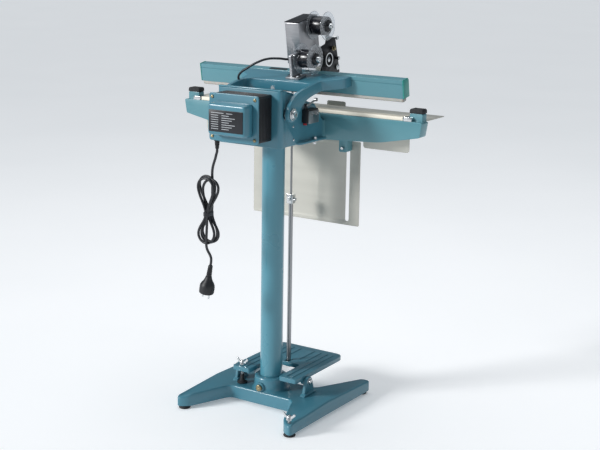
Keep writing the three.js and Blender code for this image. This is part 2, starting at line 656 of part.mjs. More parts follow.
// ---------------------------------------------------------------- controls on the head's right side, switch on its left
place(head, 'timer_knob', blackPlastic, join(
  lathe('x', [0, knobY, knobZ], [
    [0, headHalfWidth - headWall - 3], [4, headHalfWidth - headWall - 3], [4, headHalfWidth + seat],
    [18, headHalfWidth + seat],
    [18, headHalfWidth + 4], [13, headHalfWidth + 6], [12, headHalfWidth + 18], [0, headHalfWidth + 18],
  ], 24),
  block(headHalfWidth + 17, headHalfWidth + 19, knobY - 1.2, knobY + 1.2, knobZ, knobZ + 11),
));
place(head, 'power_switch', blackPlastic, prism('y', [
  [rockerX - 3, knobZ - 9], [rockerX - 3, knobZ + 9], [rockerX + 4, knobZ + 12, 1], [rockerX + 9, knobZ + 11, 1],
  [rockerX + 6, knobZ, 2], [rockerX + 6.5, knobZ - 11, 1], [rockerX + 4, knobZ - 12],
], rockerY - 7.7, rockerY + 7.7));

const switchInner = headHalfWidth + seat;
const switchOuter = switchInner + 18;
const leverPivotY = 8;
const leverPivotZ = 97;
place(head, 'microswitch', blackPlastic, join(
  block(-switchInner, -switchOuter, -35, 15, 54, 88),
  block(-switchInner - 6, -switchInner - 9, leverPivotY - 6, leverPivotY + 6, 87, 103),
  block(-switchInner - 3, -switchInner - 14, 8, 13, 48, 56),
).subtract(bar('x', leverPivotY, leverPivotZ, 1.6, -switchOuter - 1, -switchInner + 1, 12)));
place(head, 'microswitch_bracket', greySteel, join(
  block(-switchOuter - seat, -switchOuter - 2, -35, 13, 52, 84),
  bar('x', -4, 74, 3, -switchOuter - 3.5, -switchOuter - 1, 12),
  bar('x', -26, 74, 3, -switchOuter - 3.5, -switchOuter - 1, 12),
));
place(head, 'microswitch_lever', greySteel, join(
  prism('x', [[12, 94.5], [10, 99.5, 1], [-30, 109.5, 1], [-31, 106.5, 1]], -switchInner - 13, -switchInner - 9 - seat),
  bar('x', leverPivotY, leverPivotZ, 1.3, -switchInner - 13, -switchInner - 4, 12),
  bar('x', -33, 109, 4.5, -switchInner - 15, -switchInner - 8, 16),
));

// ---------------------------------------------------------------- yoke and upper jaw, drawn with the jaw closed, from the hinge axis
const webTop = 48;
const webBottom = 21;
const barBackY = -203;
const barFrontY = -233;
const barTop = 49;
const eyeRadius = 20;

function yokeCasting() {
  const plan = [
    [-armOuter, -100], [-armOuter, -142, 6], [-162, -178, 8], [-167, barBackY + seat], [167, barBackY + seat],
    [162, -178, 8], [armOuter, -142, 6], [armOuter, -100], [armInner, -100], [armInner - 8, -114, 8],
    [0, -118, 0], [-armInner + 8, -114, 8], [-armInner, -100],
  ];
  const plate = prism('z', plan, webBottom, webTop);
  const armSide = [
    [17, 10], [11, 22, 6], [-8, 37, 8], [-28, 45.5, 10], [-60, webTop, 10], [-141, webTop], [-141, webBottom],
    [-100, webBottom, 10], [-70, 18, 10], [-48, 9, 8], [-28, -6, 8], [-12, -16],
  ];
  const arms = Object.values(sides).map((side) => {
    const ends = [side * armInner, side * armOuter].sort((a, b) => a - b);
    return join(prism('x', armSide, ...ends), bar('x', 0, 0, eyeRadius, ...ends, 28));
  });
  const pocketPlan = [
    [-104, -126, 6], [-104, -146, 6], [-152, -182, 6], [-155, barBackY + 9, 3], [-14, barBackY + 9, 3], [-14, -126, 3],
  ];
  const pockets = Object.values(sides).map((side) => {
    return prism('z', pocketPlan.map(([x, y, r]) => [side * -x, y, r]), webBottom - 1, webTop - 7);
  });
  const eyeHole = bar('x', 0, 0, shaftRadius + seat, -armOuter - 1, armOuter + 1, 24);
  const rodSlot = prism('z', rectangle(-5.5, 5.5, -197, -167, 5), webBottom - 1, webTop + 1);
  return cut(join(plate, arms), pockets, eyeHole, rodSlot);
}

function jawBar() {
  const outline = [
    [barBackY, 0], [barBackY, 36], [barBackY - 1.5, 37], [barBackY, 38], [barBackY, barTop - 1, 1],
    [barFrontY + 5, barTop, 2], [barFrontY, barTop - 6, 2], [barFrontY, 0],
  ];
  const cavity = rectangle(barFrontY + 4, barBackY - 5, 5, barTop - 5);
  return cut(
    prism('x', outline, -barHalfLength, barHalfLength),
    prism('x', cavity, -barHalfLength - 1, barHalfLength + 1),
  );
}

place(yoke, 'yoke_casting', enamel, yokeCasting());
place(yoke, 'upper_jaw_bar', enamel, jawBar());
place(yoke, 'silicone_strip', siliconePink, prism('x', [
  [barBackY - 1, -seat], [barBackY - 1, -7], [barBackY - 4, -10],
  [barBackY - 18, -10], [barBackY - 21, -7], [barBackY - 21, -seat],
], -barHalfLength + 2, barHalfLength - 2));
for (const [sideName, side] of Object.entries(sides)) {
  const ends = [side * (barHalfLength + seat), side * (barHalfLength + 3)].sort((a, b) => a - b);
  place(yoke, `bar_end_${sideName}`, greenEnamel, prism('x', [
    [barBackY + 0.5, 0, 1], [barBackY + 0.5, barTop + 0.5, 1], [barFrontY + 5, barTop + 0.5, 2],
    [barFrontY, barTop - 6, 2], [barFrontY, 0, 1],
  ], ...ends));
}

// ---------------------------------------------------------------- ribbon printer, same frame as the yoke
const housingLeft = -38;
const housingRight = 4;
const housingBackY = -172;
const housingFrontY = -264;
const housingBottom = 66;
const housingTop = 187;
const mountLeft = -32;
const mountRight = -24;
const plateLeft = housingLeft - 4.3;
const spoolStart = housingLeft - 2.6;
const spoolEnd = -84;
const supplyAxis = [-240, 166];
const takeupAxis = [-168, 96];
const rollerAxis = [-277, 66];

function printerMount() {
  const foot = block(-53, -13, -168, -130, webTop + seat, webTop + 6);
  const upright = prism('x', [[-135, webTop + 2], [-135, 110, 3], [-181, 110, 3], [-181, webTop + 2]], mountLeft, mountRight);
  const axleHole = bar('x', ...takeupAxis, 3 + seat, mountLeft - 1, mountRight + 1, 16);
  return cut(join(foot, upright), axleHole);
}

function printerHousing() {
  const outline = [
    [housingBackY, 116], [housingBackY, housingTop, 3], [housingFrontY, housingTop, 3],
    [housingFrontY, housingBottom], [-181 - seat, housingBottom], [-181 - seat, 116],
  ];
  const shell = prism('x', outline, housingLeft, housingRight);
  const axleHole = bar('x', ...supplyAxis, 3 + seat, housingLeft - 1, housingLeft + 10, 16);
  const backFace = [[housingBackY, 78], [housingBackY, 118], [-190, 118], [-190, 78]];
  const lowBack = prism('x', backFace, mountRight + seat, housingRight);
  const cableHole = bar('y', -4, 92, 3.4 + seat, -180, housingBackY + 1, 12);
  return cut(join(shell, lowBack), axleHole, cableHole);
}

function sidePlate() {
  const outline = [
    [-242, 60], [-242, 100, 4], [-292, 104, 3], [-298, 116, 3], [-341, 110, 4],
    [printerFrontY, printerLowZ], [-262, printerLowZ, 4], [-262, 60, 2],
  ];
  const rollerHole = bar('x', ...rollerAxis, 3 + seat, plateLeft - 1, housingLeft, 16);
  const screwPlaces = [[-320, 86, 4], [-338, 54, 3.4]];
  const screws = screwPlaces.map(([y, z, radius]) => bar('x', y, z, radius, plateLeft - 5, plateLeft + 1, 12));
  const body = prism('x', outline, plateLeft, housingLeft - seat);
  return join(cut(body, rollerHole), screws);
}

function spool(axis, radius, hubStart) {
  return lathe('x', [0, ...axis], [
    [0, hubStart], [3, hubStart], [3, spoolStart + 1], [radius - 1, spoolStart + 1], [radius, spoolStart],
    [radius, spoolStart - 1.5], [8, spoolStart - 1.5], [8, spoolEnd + 1.5], [radius, spoolEnd + 1.5],
    [radius, spoolEnd], [12, spoolEnd],
    [12, spoolEnd - 6], [7, spoolEnd - 8], [7, spoolEnd - 14], [0, spoolEnd - 14],
  ], 22);
}

function ribbon(axis, radius) {
  const from = spoolEnd + 1.5 + seat;
  const to = spoolStart - 1.5 - seat;
  const hub = 8 + seat;
  return lathe('x', [0, ...axis], [[hub, from], [radius, from], [radius, to], [hub, to], [hub, from]], 20);
}

place(yoke, 'printer_mount', greySteel, printerMount());
place(yoke, 'printer_housing', greySteel, printerHousing());
place(yoke, 'printer_plate', blackPlastic, sidePlate());
place(yoke, 'supply_spool', clearPlastic, spool(supplyAxis, 37, housingLeft + 8));
place(yoke, 'supply_ribbon', blackPlastic, ribbon(supplyAxis, 24));
place(yoke, 'takeup_spool', clearPlastic, spool(takeupAxis, 39, mountRight - 1));
place(yoke, 'takeup_ribbon', blackPlastic, ribbon(takeupAxis, 23));
place(yoke, 'feed_roller', blackRubber, lathe('x', [0, ...rollerAxis], [
  [0, housingLeft - 1], [3, housingLeft - 1], [3, plateLeft - seat], [20, plateLeft - seat], [20, plateLeft - 16],
  [15, plateLeft - 16], [15, plateLeft - 12], [0, plateLeft - 12],
], 22));
place(yoke, 'type_head', brass, join(
  block(housingLeft, housingLeft + 30, -316, -284, 0, 40),
  block(housingLeft + 5, housingLeft + 25, -312, -292, -8, 1),
));

const printerCable = [
  [-4, housingBackY + seat, 92], [-4, -164, 92], [9, -140, 99], [30, -118, 102], [55, -102, 94], [80, -95, 80],
  [100, -92, 67], [108.5, -92, 56], [108.5, -92, webTop + 2 * seat],
];
place(yoke, 'printer_cable', blackRubber, tube(printerCable, 3, 26));

// ---------------------------------------------------------------- mains lead, measured from the head's underside
const cordRadius = 3.4;
const hankX = 85;
const hankY = 172;
const hankHalfWidth = 35;
const hankHalfDepth = 13;
const hankTop = -74;
const hankBottom = -267;
const leadPoints = [
  [glandX, glandY, glandBottom - seat], [glandX + 0.5, glandY, glandBottom - 8], [64, 165.3, -22],
  [68, 164.3, -34], [73, 163.4, -46], [77, 162.8, -58], [79, 162.6, hankTop + 2 * seat],
];
const tailPoints = [
  [82, hankY + 9, hankBottom - 4 * seat], [81.4, hankY + 8.6, -272], [77, hankY + 4, -283],
  [75, hankY + 1.5, -293], [75.6, hankY + 0.3, -303], [77.2, hankY, -312.6],
];
const plugTilt = THREE.MathUtils.degToRad(10.5);

function plug() {
  const profile = [
    [0, 0], [5, 0], [6, -4], [7.5, -30], [11, -42], [17, -50], [19.5, -56], [19.5, -76], [18, -78],
    [16.5, -78], [16.5, -75], [0, -75],
  ];
  const body = lathe('z', [0, 0, 0], profile, 24);
  const pins = [-9.5, 9.5].map((x) => bar('z', x, 0, 2.4, -92, -74, 10));
  return join(body, pins);
}

place(head, 'mains_lead', blackRubber, tube(leadPoints, cordRadius, 14));
place(head, 'cord_hank', blackRubber, prism('y', rectangle(
  hankX - hankHalfWidth, hankX + hankHalfWidth, hankBottom, hankTop, hankHalfWidth - 2,
), hankY - hankHalfDepth, hankY + hankHalfDepth, 8));
place(head, 'cord_tail', blackRubber, tube(tailPoints, cordRadius, 12));
const plugHolder = new THREE.Group();
plugHolder.position.set(77.3, hankY, -313.2);
plugHolder.rotation.y = -plugTilt;
head.add(plugHolder);
place(plugHolder, 'mains_plug', blackPlastic, plug());

export default machine;
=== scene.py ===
# Pedal-operated impulse heat sealer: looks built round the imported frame.
import json
import math
import bpy
from mathutils import Matrix, Vector

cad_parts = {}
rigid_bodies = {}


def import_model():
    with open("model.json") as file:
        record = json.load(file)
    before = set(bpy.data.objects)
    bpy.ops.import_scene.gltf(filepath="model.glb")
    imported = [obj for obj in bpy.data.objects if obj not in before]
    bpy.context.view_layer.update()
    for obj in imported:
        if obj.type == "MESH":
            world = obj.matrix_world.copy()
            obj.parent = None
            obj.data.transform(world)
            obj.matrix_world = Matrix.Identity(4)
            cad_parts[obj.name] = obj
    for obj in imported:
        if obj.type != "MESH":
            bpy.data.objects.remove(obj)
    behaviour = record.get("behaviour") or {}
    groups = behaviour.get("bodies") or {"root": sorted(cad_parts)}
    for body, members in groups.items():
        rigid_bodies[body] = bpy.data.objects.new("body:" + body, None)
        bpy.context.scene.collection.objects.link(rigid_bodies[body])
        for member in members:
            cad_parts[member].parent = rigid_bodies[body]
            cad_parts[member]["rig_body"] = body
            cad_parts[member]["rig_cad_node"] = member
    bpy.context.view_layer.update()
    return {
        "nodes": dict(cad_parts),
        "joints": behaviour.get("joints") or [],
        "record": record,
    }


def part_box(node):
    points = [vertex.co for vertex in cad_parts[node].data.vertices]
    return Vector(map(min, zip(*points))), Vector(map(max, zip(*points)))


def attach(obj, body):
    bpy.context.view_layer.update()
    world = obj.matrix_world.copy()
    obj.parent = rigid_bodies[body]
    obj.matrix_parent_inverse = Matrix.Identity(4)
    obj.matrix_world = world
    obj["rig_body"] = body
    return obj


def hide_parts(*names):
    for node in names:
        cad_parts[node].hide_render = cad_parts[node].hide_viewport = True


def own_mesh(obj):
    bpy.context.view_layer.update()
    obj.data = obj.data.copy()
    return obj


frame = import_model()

mm = 0.001
nodes = frame["nodes"]
bodyNames = frame["record"]["behaviour"]["bodies"]
bodyOfNode = {node: body for body, members in bodyNames.items() for node in members}
slotOfNode = {row["node"]: row["material_slot"] for row in frame["record"]["subparts"]}
yokeHinge = next(joint for joint in frame["joints"] if joint["name"] == "yoke_hinge")
openAngle = math.radians(yokeHinge["range_deg"][1])
columnLow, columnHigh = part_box("column_tube")
columnY = (columnLow.y + columnHigh.y) / 2
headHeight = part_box("head_frame")[0].z

# Local frames in millimetres: from the column axis at the floor, from the head's underside,
# and from the hinge axis with the jaw closed.
machinePlace = Matrix.Translation((0, columnY, 0)) @ Matrix.Scale(mm, 4)
headPlace = Matrix.Translation((0, columnY, headHeight)) @ Matrix.Scale(mm, 4)
yokePlace = Matrix.Translation(yokeHinge["pos_m"]) @ Matrix.Rotation(-openAngle, 4, "X") @ Matrix.Scale(mm, 4)
metrePlace = Matrix.Identity(4)


# Camera, low behind the machine's left rear, long lens
cameraLook = {"azimuth": 213.44, "elevation": 13.39, "roll": 0.63, "distance": 3.302, "targetHeight": 0.5}
azimuth = math.radians(cameraLook["azimuth"])
elevation = math.radians(cameraLook["elevation"])
backward = Vector((
    math.sin(azimuth) * math.cos(elevation),
    -math.cos(azimuth) * math.cos(elevation),
    math.sin(elevation),
))
cameraData = bpy.data.cameras.new("camera")
cameraData.lens = 75.03
cameraData.sensor_width = 36
cameraData.shift_x = 0.0452
cameraData.shift_y = -0.0019
camera = bpy.data.objects.new("camera", cameraData)
bpy.context.scene.collection.objects.link(camera)
camera.rotation_mode = "QUATERNION"
camera.location = Vector((0, columnY, cameraLook["targetHeight"])) + backward * cameraLook["distance"]
rollTurn = Matrix.Rotation(math.radians(cameraLook["roll"]), 4, "Z").to_quaternion()
camera.rotation_quaternion = (-backward).to_track_quat("-Z", "Y") @ rollTurn
bpy.context.scene.camera = camera
print("camera placed")


# Materials
def linearColour(code):
    channels = [int(code[i:i + 2], 16) / 255 for i in (1, 3, 5)]
    linear = [c / 12.92 if c <= 0.04045 else ((c + 0.055) / 1.055) ** 2.4 for c in channels]
    return (*linear, 1)


def addNode(tree, kind, settings=(), links=()):
    node = tree.nodes.new(kind)
    for key, value in dict(settings).items():
        if key in node.inputs:
            node.inputs[key].default_value = value
        else:
            setattr(node, key, value)
    for socket, source in dict(links).items():
        tree.links.new(source, node.inputs[socket])
    return node


def startMaterial(name, settings):
    material = bpy.data.materials.new(name)
    material.use_nodes = True
    tree = material.node_tree
    tree.nodes.clear()
    shader = addNode(tree, "ShaderNodeBsdfPrincipled", settings)
    addNode(tree, "ShaderNodeOutputMaterial", links={"Surface": shader.outputs["BSDF"]})
    place = addNode(tree, "ShaderNodeTexCoord").outputs["Object"]
    return material, tree, shader, place


def coatedSurface(name, look):
    # look: colours, patch and grain sizes in mm, gloss range, bump height in mm
    settings = {"Metallic": look.get("metallic", 0.0)}
    settings.update(look.get("shader", {}))
    material, tree, shader, place = startMaterial(name, settings)
    stretch = look.get("stretch", (1, 1, 1))
    scaled = addNode(tree, "ShaderNodeMapping", {"Scale": stretch}, {"Vector": place}).outputs["Vector"]
    patches = addNode(tree, "ShaderNodeTexNoise", {
        "Scale": 1 / (look["patchMm"] * mm), "Detail": 3.0, "Roughness": 0.55,
    }, {"Vector": scaled}).outputs["Fac"]
    grain = addNode(tree, "ShaderNodeTexNoise", {
        "Scale": 1 / (look["grainMm"] * mm), "Detail": 2.0, "Roughness": 0.5,
    }, {"Vector": scaled}).outputs["Fac"]
    colour = addNode(tree, "ShaderNodeMixRGB", {
        "Color1": linearColour(look["colours"][0]), "Color2": linearColour(look["colours"][1]),
    }, {"Fac": patches})
    tree.links.new(colour.outputs["Color"], shader.inputs["Base Color"])
    gloss = addNode(tree, "ShaderNodeMapRange", {
        "From Min": 0.3, "From Max": 0.7, "To Min": look["gloss"][0], "To Max": look["gloss"][1],
    }, {"Value": grain if look.get("grainGloss") else patches})
    tree.links.new(gloss.outputs["Result"], shader.inputs["Roughness"])
    bump = addNode(tree, "ShaderNodeBump", {
        "Strength": look.get("bumpStrength", 0.6), "Distance": look["bumpMm"] * mm,
    }, {"Height": grain})
    tree.links.new(bump.outputs["Normal"], shader.inputs["Normal"])
    return material, tree, shader, colour, place


# Gloss stoving enamel on cast iron: deep colour under a wet coat, with faint orange peel from the gun.
castEnamel = coatedSurface("castEnamel", {
    "colours": ("#3C7789", "#427D8F"), "patchMm": 60, "grainMm": 3.2, "gloss": (0.3, 0.42), "bumpMm": 0.12,
    "shader": {"Coat Weight": 0.35, "Coat Roughness": 0.18, "IOR": 1.5},
})[0]
# The same enamel on smooth sheet and tube, flatter and slightly shinier.
sheetEnamel = coatedSurface("sheetEnamel", {
    "colours": ("#498798", "#4C8A9B"), "patchMm": 90, "grainMm": 5, "gloss": (0.26, 0.34), "bumpMm": 0.05,
    "shader": {"Coat Weight": 0.4, "Coat Roughness": 0.12, "IOR": 1.5},
})[0]
# Enamel on the extruded bar and the beam, a paler and greyer batch.
barEnamel = coatedSurface("barEnamel", {
    "colours": ("#4F8691", "#588E99"), "patchMm": 80, "grainMm": 4, "gloss": (0.3, 0.4), "bumpMm": 0.06,
    "shader": {"Coat Weight": 0.35, "Coat Roughness": 0.16, "IOR": 1.5},
})[0]
# Green enamel on the bar's end plates, from another batch of paint.
greenEnamel = coatedSurface("greenEnamel", {
    "colours": ("#1F8A80", "#2A958B"), "patchMm": 30, "grainMm": 3, "gloss": (0.3, 0.4), "bumpMm": 0.06,
    "shader": {"Coat Weight": 0.3, "Coat Roughness": 0.15},
})[0]
# Moulded ABS, spark-eroded: black with a dull fine grain.
blackAbs = coatedSurface("blackAbs", {
    "colours": ("#090B10", "#10131A"), "patchMm": 25, "grainMm": 0.9, "gloss": (0.42, 0.56), "bumpMm": 0.06,
    "grainGloss": True, "shader": {"IOR": 1.53},
})[0]
# Moulded nitrile rubber: almost no shine, dusty in places.
blackRubber = coatedSurface("blackRubber", {
    "colours": ("#131416", "#202226"), "patchMm": 8, "grainMm": 0.8, "gloss": (0.62, 0.82), "bumpMm": 0.08,
    "shader": {"IOR": 1.52},
})[0]
# Soft PVC jacket, extruded: satin with a fine grain.
pvcJacket = coatedSurface("pvcJacket", {
    "colours": ("#080B13", "#0F131C"), "patchMm": 14, "grainMm": 1.2, "gloss": (0.36, 0.5), "bumpMm": 0.05,
    "shader": {"IOR": 1.53, "Coat Weight": 0.1, "Coat Roughness": 0.3},
})[0]
# Black anodised plate: a dark, slightly sparkling metal skin.
blackAnodised = coatedSurface("blackAnodised", {
    "colours": ("#111216", "#1B1D23"), "patchMm": 12, "grainMm": 0.7, "gloss": (0.34, 0.48), "bumpMm": 0.03,
    "metallic": 0.55, "grainGloss": True,
})[0]
# Hot-stamp foil on its reel: glossy dark film.
foilRibbon = coatedSurface("foilRibbon", {
    "colours": ("#0B0C12", "#15161F"), "patchMm": 9, "grainMm": 0.6, "gloss": (0.22, 0.32), "bumpMm": 0.02,
    "stretch": (6, 1, 1),
})[0]
# Bright zinc plate on turned steel: soft mirror with a turning pattern too fine to count.
brightPlate = coatedSurface("brightPlate", {
    "colours": ("#C9CCCE", "#DADCDD"), "patchMm": 7, "grainMm": 0.8, "gloss": (0.14, 0.26), "bumpMm": 0.015,
    "metallic": 1.0,
})[0]
# Drawn mild steel, oiled: grey with lengthwise scratches.
drawnSteel = coatedSurface("drawnSteel", {
    "colours": ("#8D8F92", "#A6A7A8"), "patchMm": 12, "grainMm": 1.2, "gloss": (0.26, 0.42), "bumpMm": 0.03,
    "metallic": 1.0, "stretch": (1, 1, 0.08),
})[0]
# Brushed aluminium casting of the printer: fine parallel lines across the housing.
brushedAluminium = coatedSurface("brushedAluminium", {
    "colours": ("#8F9094", "#B4B4B6"), "patchMm": 2.5, "grainMm": 1.0, "gloss": (0.3, 0.46), "bumpMm": 0.03,
    "metallic": 0.9, "stretch": (0.06, 1, 1), "grainGloss": True,
})[0]
# Turned brass, lightly tarnished.
satinBrass = coatedSurface("satinBrass", {
    "colours": ("#857B5F", "#A0967A"), "patchMm": 4, "grainMm": 0.8, "gloss": (0.2, 0.34), "bumpMm": 0.02,
    "metallic": 1.0,
})[0]
# Stainless sheet, satin rolled: pale, with long rolling lines.
satinSheet = coatedSurface("satinSheet", {
    "colours": ("#BAB8AF", "#C8C6BD"), "patchMm": 22, "grainMm": 1.6, "gloss": (0.38, 0.5), "bumpMm": 0.02,
    "metallic": 0.25, "stretch": (0.05, 1, 1),
})[0]
# Silicone sponge strip: pinkish grey, soft and dull.
siliconeStrip = coatedSurface("siliconeStrip", {
    "colours": ("#A8A6A0", "#BAB7B0"), "patchMm": 18, "grainMm": 1.4, "gloss": (0.55, 0.7), "bumpMm": 0.06,
    "shader": {"Subsurface Weight": 0.12, "Subsurface Scale": 0.003},
})[0]
# Red PVC sleeve on a crimped terminal.
redSleeve = coatedSurface("redSleeve", {
    "colours": ("#A31B22", "#BE2A2F"), "patchMm": 5, "grainMm": 0.8, "gloss": (0.35, 0.5), "bumpMm": 0.03,
})[0]
# Resist-coated glass-fibre board, seen only with the cover off.
circuitBoard = coatedSurface("circuitBoard", {
    "colours": ("#1F5A38", "#2F7A4C"), "patchMm": 6, "grainMm": 0.9, "gloss": (0.25, 0.4), "bumpMm": 0.04,
})[0]
# Clear polystyrene reels: sharp reflections, faint haze.
clearStyrene = coatedSurface("clearStyrene", {
    "colours": ("#E9EEF3", "#F4F7FA"), "patchMm": 20, "grainMm": 2, "gloss": (0.04, 0.1), "bumpMm": 0.01,
    "shader": {"Transmission Weight": 0.9, "IOR": 1.45},
})[0]


def glassCloth():
    # PTFE-coated glass cloth over the element: cream, with a plain weave. The threads are drawn at
    # 1.5 mm, coarser than real ones, so that they show.
    material, tree, shader, colour, place = coatedSurface("glassCloth", {
        "colours": ("#EFE6D4", "#F6EFE0"), "patchMm": 40, "grainMm": 1.5, "gloss": (0.4, 0.55),
        "bumpMm": 0.03,
    })
    threads = [addNode(tree, "ShaderNodeTexWave", {
        "Scale": 1 / (1.5 * mm) / 20 * math.pi, "wave_type": "BANDS", "bands_direction": direction,
    }, {"Vector": place}).outputs["Fac"] for direction in ("X", "Y")]
    weave = addNode(tree, "ShaderNodeMath", {"operation": "MAXIMUM"}, {0: threads[0], 1: threads[1]})
    bump = addNode(tree, "ShaderNodeBump", {"Strength": 0.5, "Distance": 0.08 * mm},
                   {"Height": weave.outputs[0]})
    tree.links.new(bump.outputs["Normal"], shader.inputs["Normal"])
    return material


def printedFoil():
    # Screen-printed aluminium foil label: satin black ground. The pale rules are laid on as thin pieces.
    return coatedSurface("printedFoil", {
        "colours": ("#0C0E14", "#141720"), "patchMm": 20, "grainMm": 1, "gloss": (0.3, 0.4), "bumpMm": 0.02,
    })[0]


# Pale screen ink on the label.
paleInk = coatedSurface("paleInk", {
    "colours": ("#A9ADB2", "#C3C6CA"), "patchMm": 3, "grainMm": 0.6, "gloss": (0.4, 0.5), "bumpMm": 0.01,
})[0]
# Dark nylon band of the twist tie.
nylonTie = coatedSurface("nylonTie", {
    "colours": ("#1B1D22", "#26292F"), "patchMm": 4, "grainMm": 0.7, "gloss": (0.4, 0.55), "bumpMm": 0.03,
})[0]

slotMaterials = {
    "teal_enamel": castEnamel, "green_enamel": greenEnamel, "black_rubber": blackRubber,
    "cable_jacket": pvcJacket, "black_plastic": blackAbs, "anodised_plate": blackAnodised,
    "ribbon_film": foilRibbon, "clear_spool": clearStyrene, "bright_steel": brightPlate,
    "plain_steel": drawnSteel, "brushed_aluminium": brushedAluminium, "brass": satinBrass,
    "table_sheet": satinSheet, "ptfe_cloth": glassCloth(), "silicone": siliconeStrip,
    "label": printedFoil(), "circuit_board": circuitBoard,
}
for nodeName, node in nodes.items():
    node.data.materials.clear()
    node.data.materials.append(slotMaterials[slotOfNode[nodeName]])
print("materials made")


# Modelling helpers; lengths are millimetres in a local frame until a piece is finished
def deselectAll():
    for chosen in bpy.context.selected_objects:
        chosen.select_set(False)


def activate(piece):
    deselectAll()
    piece.select_set(True)
    bpy.context.view_layer.objects.active = piece


def alongAxis(axis, u, v, w):
    return Vector({"x": (w, u, v), "y": (u, w, v), "z": (u, v, w)}[axis])


def cleanNormals(piece, mergeDistance=0.002):
    activate(piece)
    bpy.ops.object.mode_set(mode="EDIT")
    bpy.ops.mesh.select_all(action="SELECT")
    bpy.ops.mesh.remove_doubles(threshold=mergeDistance)
    bpy.ops.mesh.normals_make_consistent(inside=False)
    bpy.ops.object.mode_set(mode="OBJECT")
    return piece


def roundedCorners(corners, steps=6):
    points = []
    count = len(corners)
    for i, corner in enumerate(corners):
        here = Vector(corner[:2])
        radius = corner[2] if len(corner) > 2 else 0
        if radius == 0:
            points.append(here)
            continue
        before = Vector(corners[i - 1][:2]) - here
        after = Vector(corners[(i + 1) % count][:2]) - here
        radius = min(radius, before.length * 0.48, after.length * 0.48)
        entry = here + before.normalized() * radius
        leave = here + after.normalized() * radius
        for k in range(steps + 1):
            t = k / steps
            points.append(entry * (1 - t) ** 2 + here * 2 * t * (1 - t) + leave * t ** 2)
    return points


def outlinePlate(corners, axis, low, high, steps=6):
    points = roundedCorners(corners, steps)
    deselectAll()
    bpy.ops.mesh.primitive_circle_add(vertices=len(points), radius=1, fill_type="NGON")
    piece = bpy.context.object
    for vertex, point in zip(piece.data.vertices, points):
        vertex.co = alongAxis(axis, point.x, point.y, low)
    bpy.ops.object.mode_set(mode="EDIT")
    bpy.ops.mesh.select_all(action="SELECT")
    bpy.ops.mesh.extrude_region_move(TRANSFORM_OT_translate={"value": alongAxis(axis, 0, 0, high - low)})
    bpy.ops.object.mode_set(mode="OBJECT")
    return cleanNormals(piece)


def hexagon(u, v, radius):
    return [(u + radius * math.cos(math.tau * k / 6),
             v + radius * math.sin(math.tau * k / 6)) for k in range(6)]


def turned(axis, centre, profile, steps=48):
    # profile: (radius, place along the axis), open on the axis or closed on itself
    closed = profile[0] == profile[-1]
    points = profile[:-1] if closed else profile
    deselectAll()
    bpy.ops.mesh.primitive_circle_add(vertices=len(points), radius=1, fill_type="NOTHING")
    piece = bpy.context.object
    for vertex, (radius, along) in zip(piece.data.vertices, points):
        vertex.co = Vector(centre) + alongAxis(axis, radius, 0, along)
    if not closed:
        ends = {0, len(points) - 1}
        bpy.ops.object.mode_set(mode="EDIT")
        bpy.ops.mesh.select_mode(type="EDGE")
        bpy.ops.mesh.select_all(action="DESELECT")
        bpy.ops.object.mode_set(mode="OBJECT")
        for edge in piece.data.edges:
            edge.select = set(edge.vertices) == ends
        bpy.ops.object.mode_set(mode="EDIT")
        bpy.ops.mesh.delete(type="EDGE")
        bpy.ops.mesh.select_mode(type="VERT")
    else:
        bpy.ops.object.mode_set(mode="EDIT")
    bpy.ops.mesh.select_all(action="SELECT")
    bpy.ops.mesh.spin(steps=steps, dupli=False, angle=math.tau, center=centre, axis=alongAxis(axis, 0, 0, 1))
    bpy.ops.object.mode_set(mode="OBJECT")
    return cleanNormals(piece)


def block(low, high):
    deselectAll()
    lowCorner, highCorner = Vector(low), Vector(high)
    bpy.ops.mesh.primitive_cube_add(size=1, location=(lowCorner + highCorner) / 2,
                                    scale=highCorner - lowCorner)
    bpy.ops.object.transform_apply(location=True, rotation=True, scale=True)
    return bpy.context.object


def applyModifier(piece, kind, settings):
    activate(piece)
    modifier = piece.modifiers.new(kind.lower(), kind)
    for key, value in settings.items():
        setattr(modifier, key, value)
    bpy.ops.object.modifier_apply(modifier=modifier.name)
    return piece


def softEdges(piece, width, segments=2, angle=32):
    return applyModifier(piece, "BEVEL", {
        "width": width, "segments": segments, "limit_method": "ANGLE", "angle_limit": math.radians(angle),
        "use_clamp_overlap": False, "miter_outer": "MITER_ARC",
    })


def cutWith(piece, tool, operation="DIFFERENCE"):
    applyModifier(piece, "BOOLEAN", {"operation": operation, "object": tool, "solver": "EXACT"})
    bpy.data.objects.remove(tool)
    return piece


def joined(pieces):
    deselectAll()
    for piece in pieces:
        piece.select_set(True)
    bpy.context.view_layer.objects.active = pieces[0]
    bpy.ops.object.join()
    return bpy.context.object


def copied(piece, offset, turn=None):
    twin = piece.copy()
    twin.data = piece.data.copy()
    bpy.context.scene.collection.objects.link(twin)
    if turn:
        twin.data.transform(turn)
    twin.data.transform(Matrix.Translation(offset))
    return twin


def finishPiece(piece, name, material, body, place=metrePlace, replaces=(), angle=38):
    piece.name = name
    piece.data.name = name
    piece.data.transform(place)
    piece.data.materials.clear()
    piece.data.materials.append(material)
    activate(piece)
    bpy.ops.object.shade_smooth_by_angle(angle=math.radians(angle))
    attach(piece, body)
    if replaces:
        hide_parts(*replaces)
    deselectAll()
    return piece


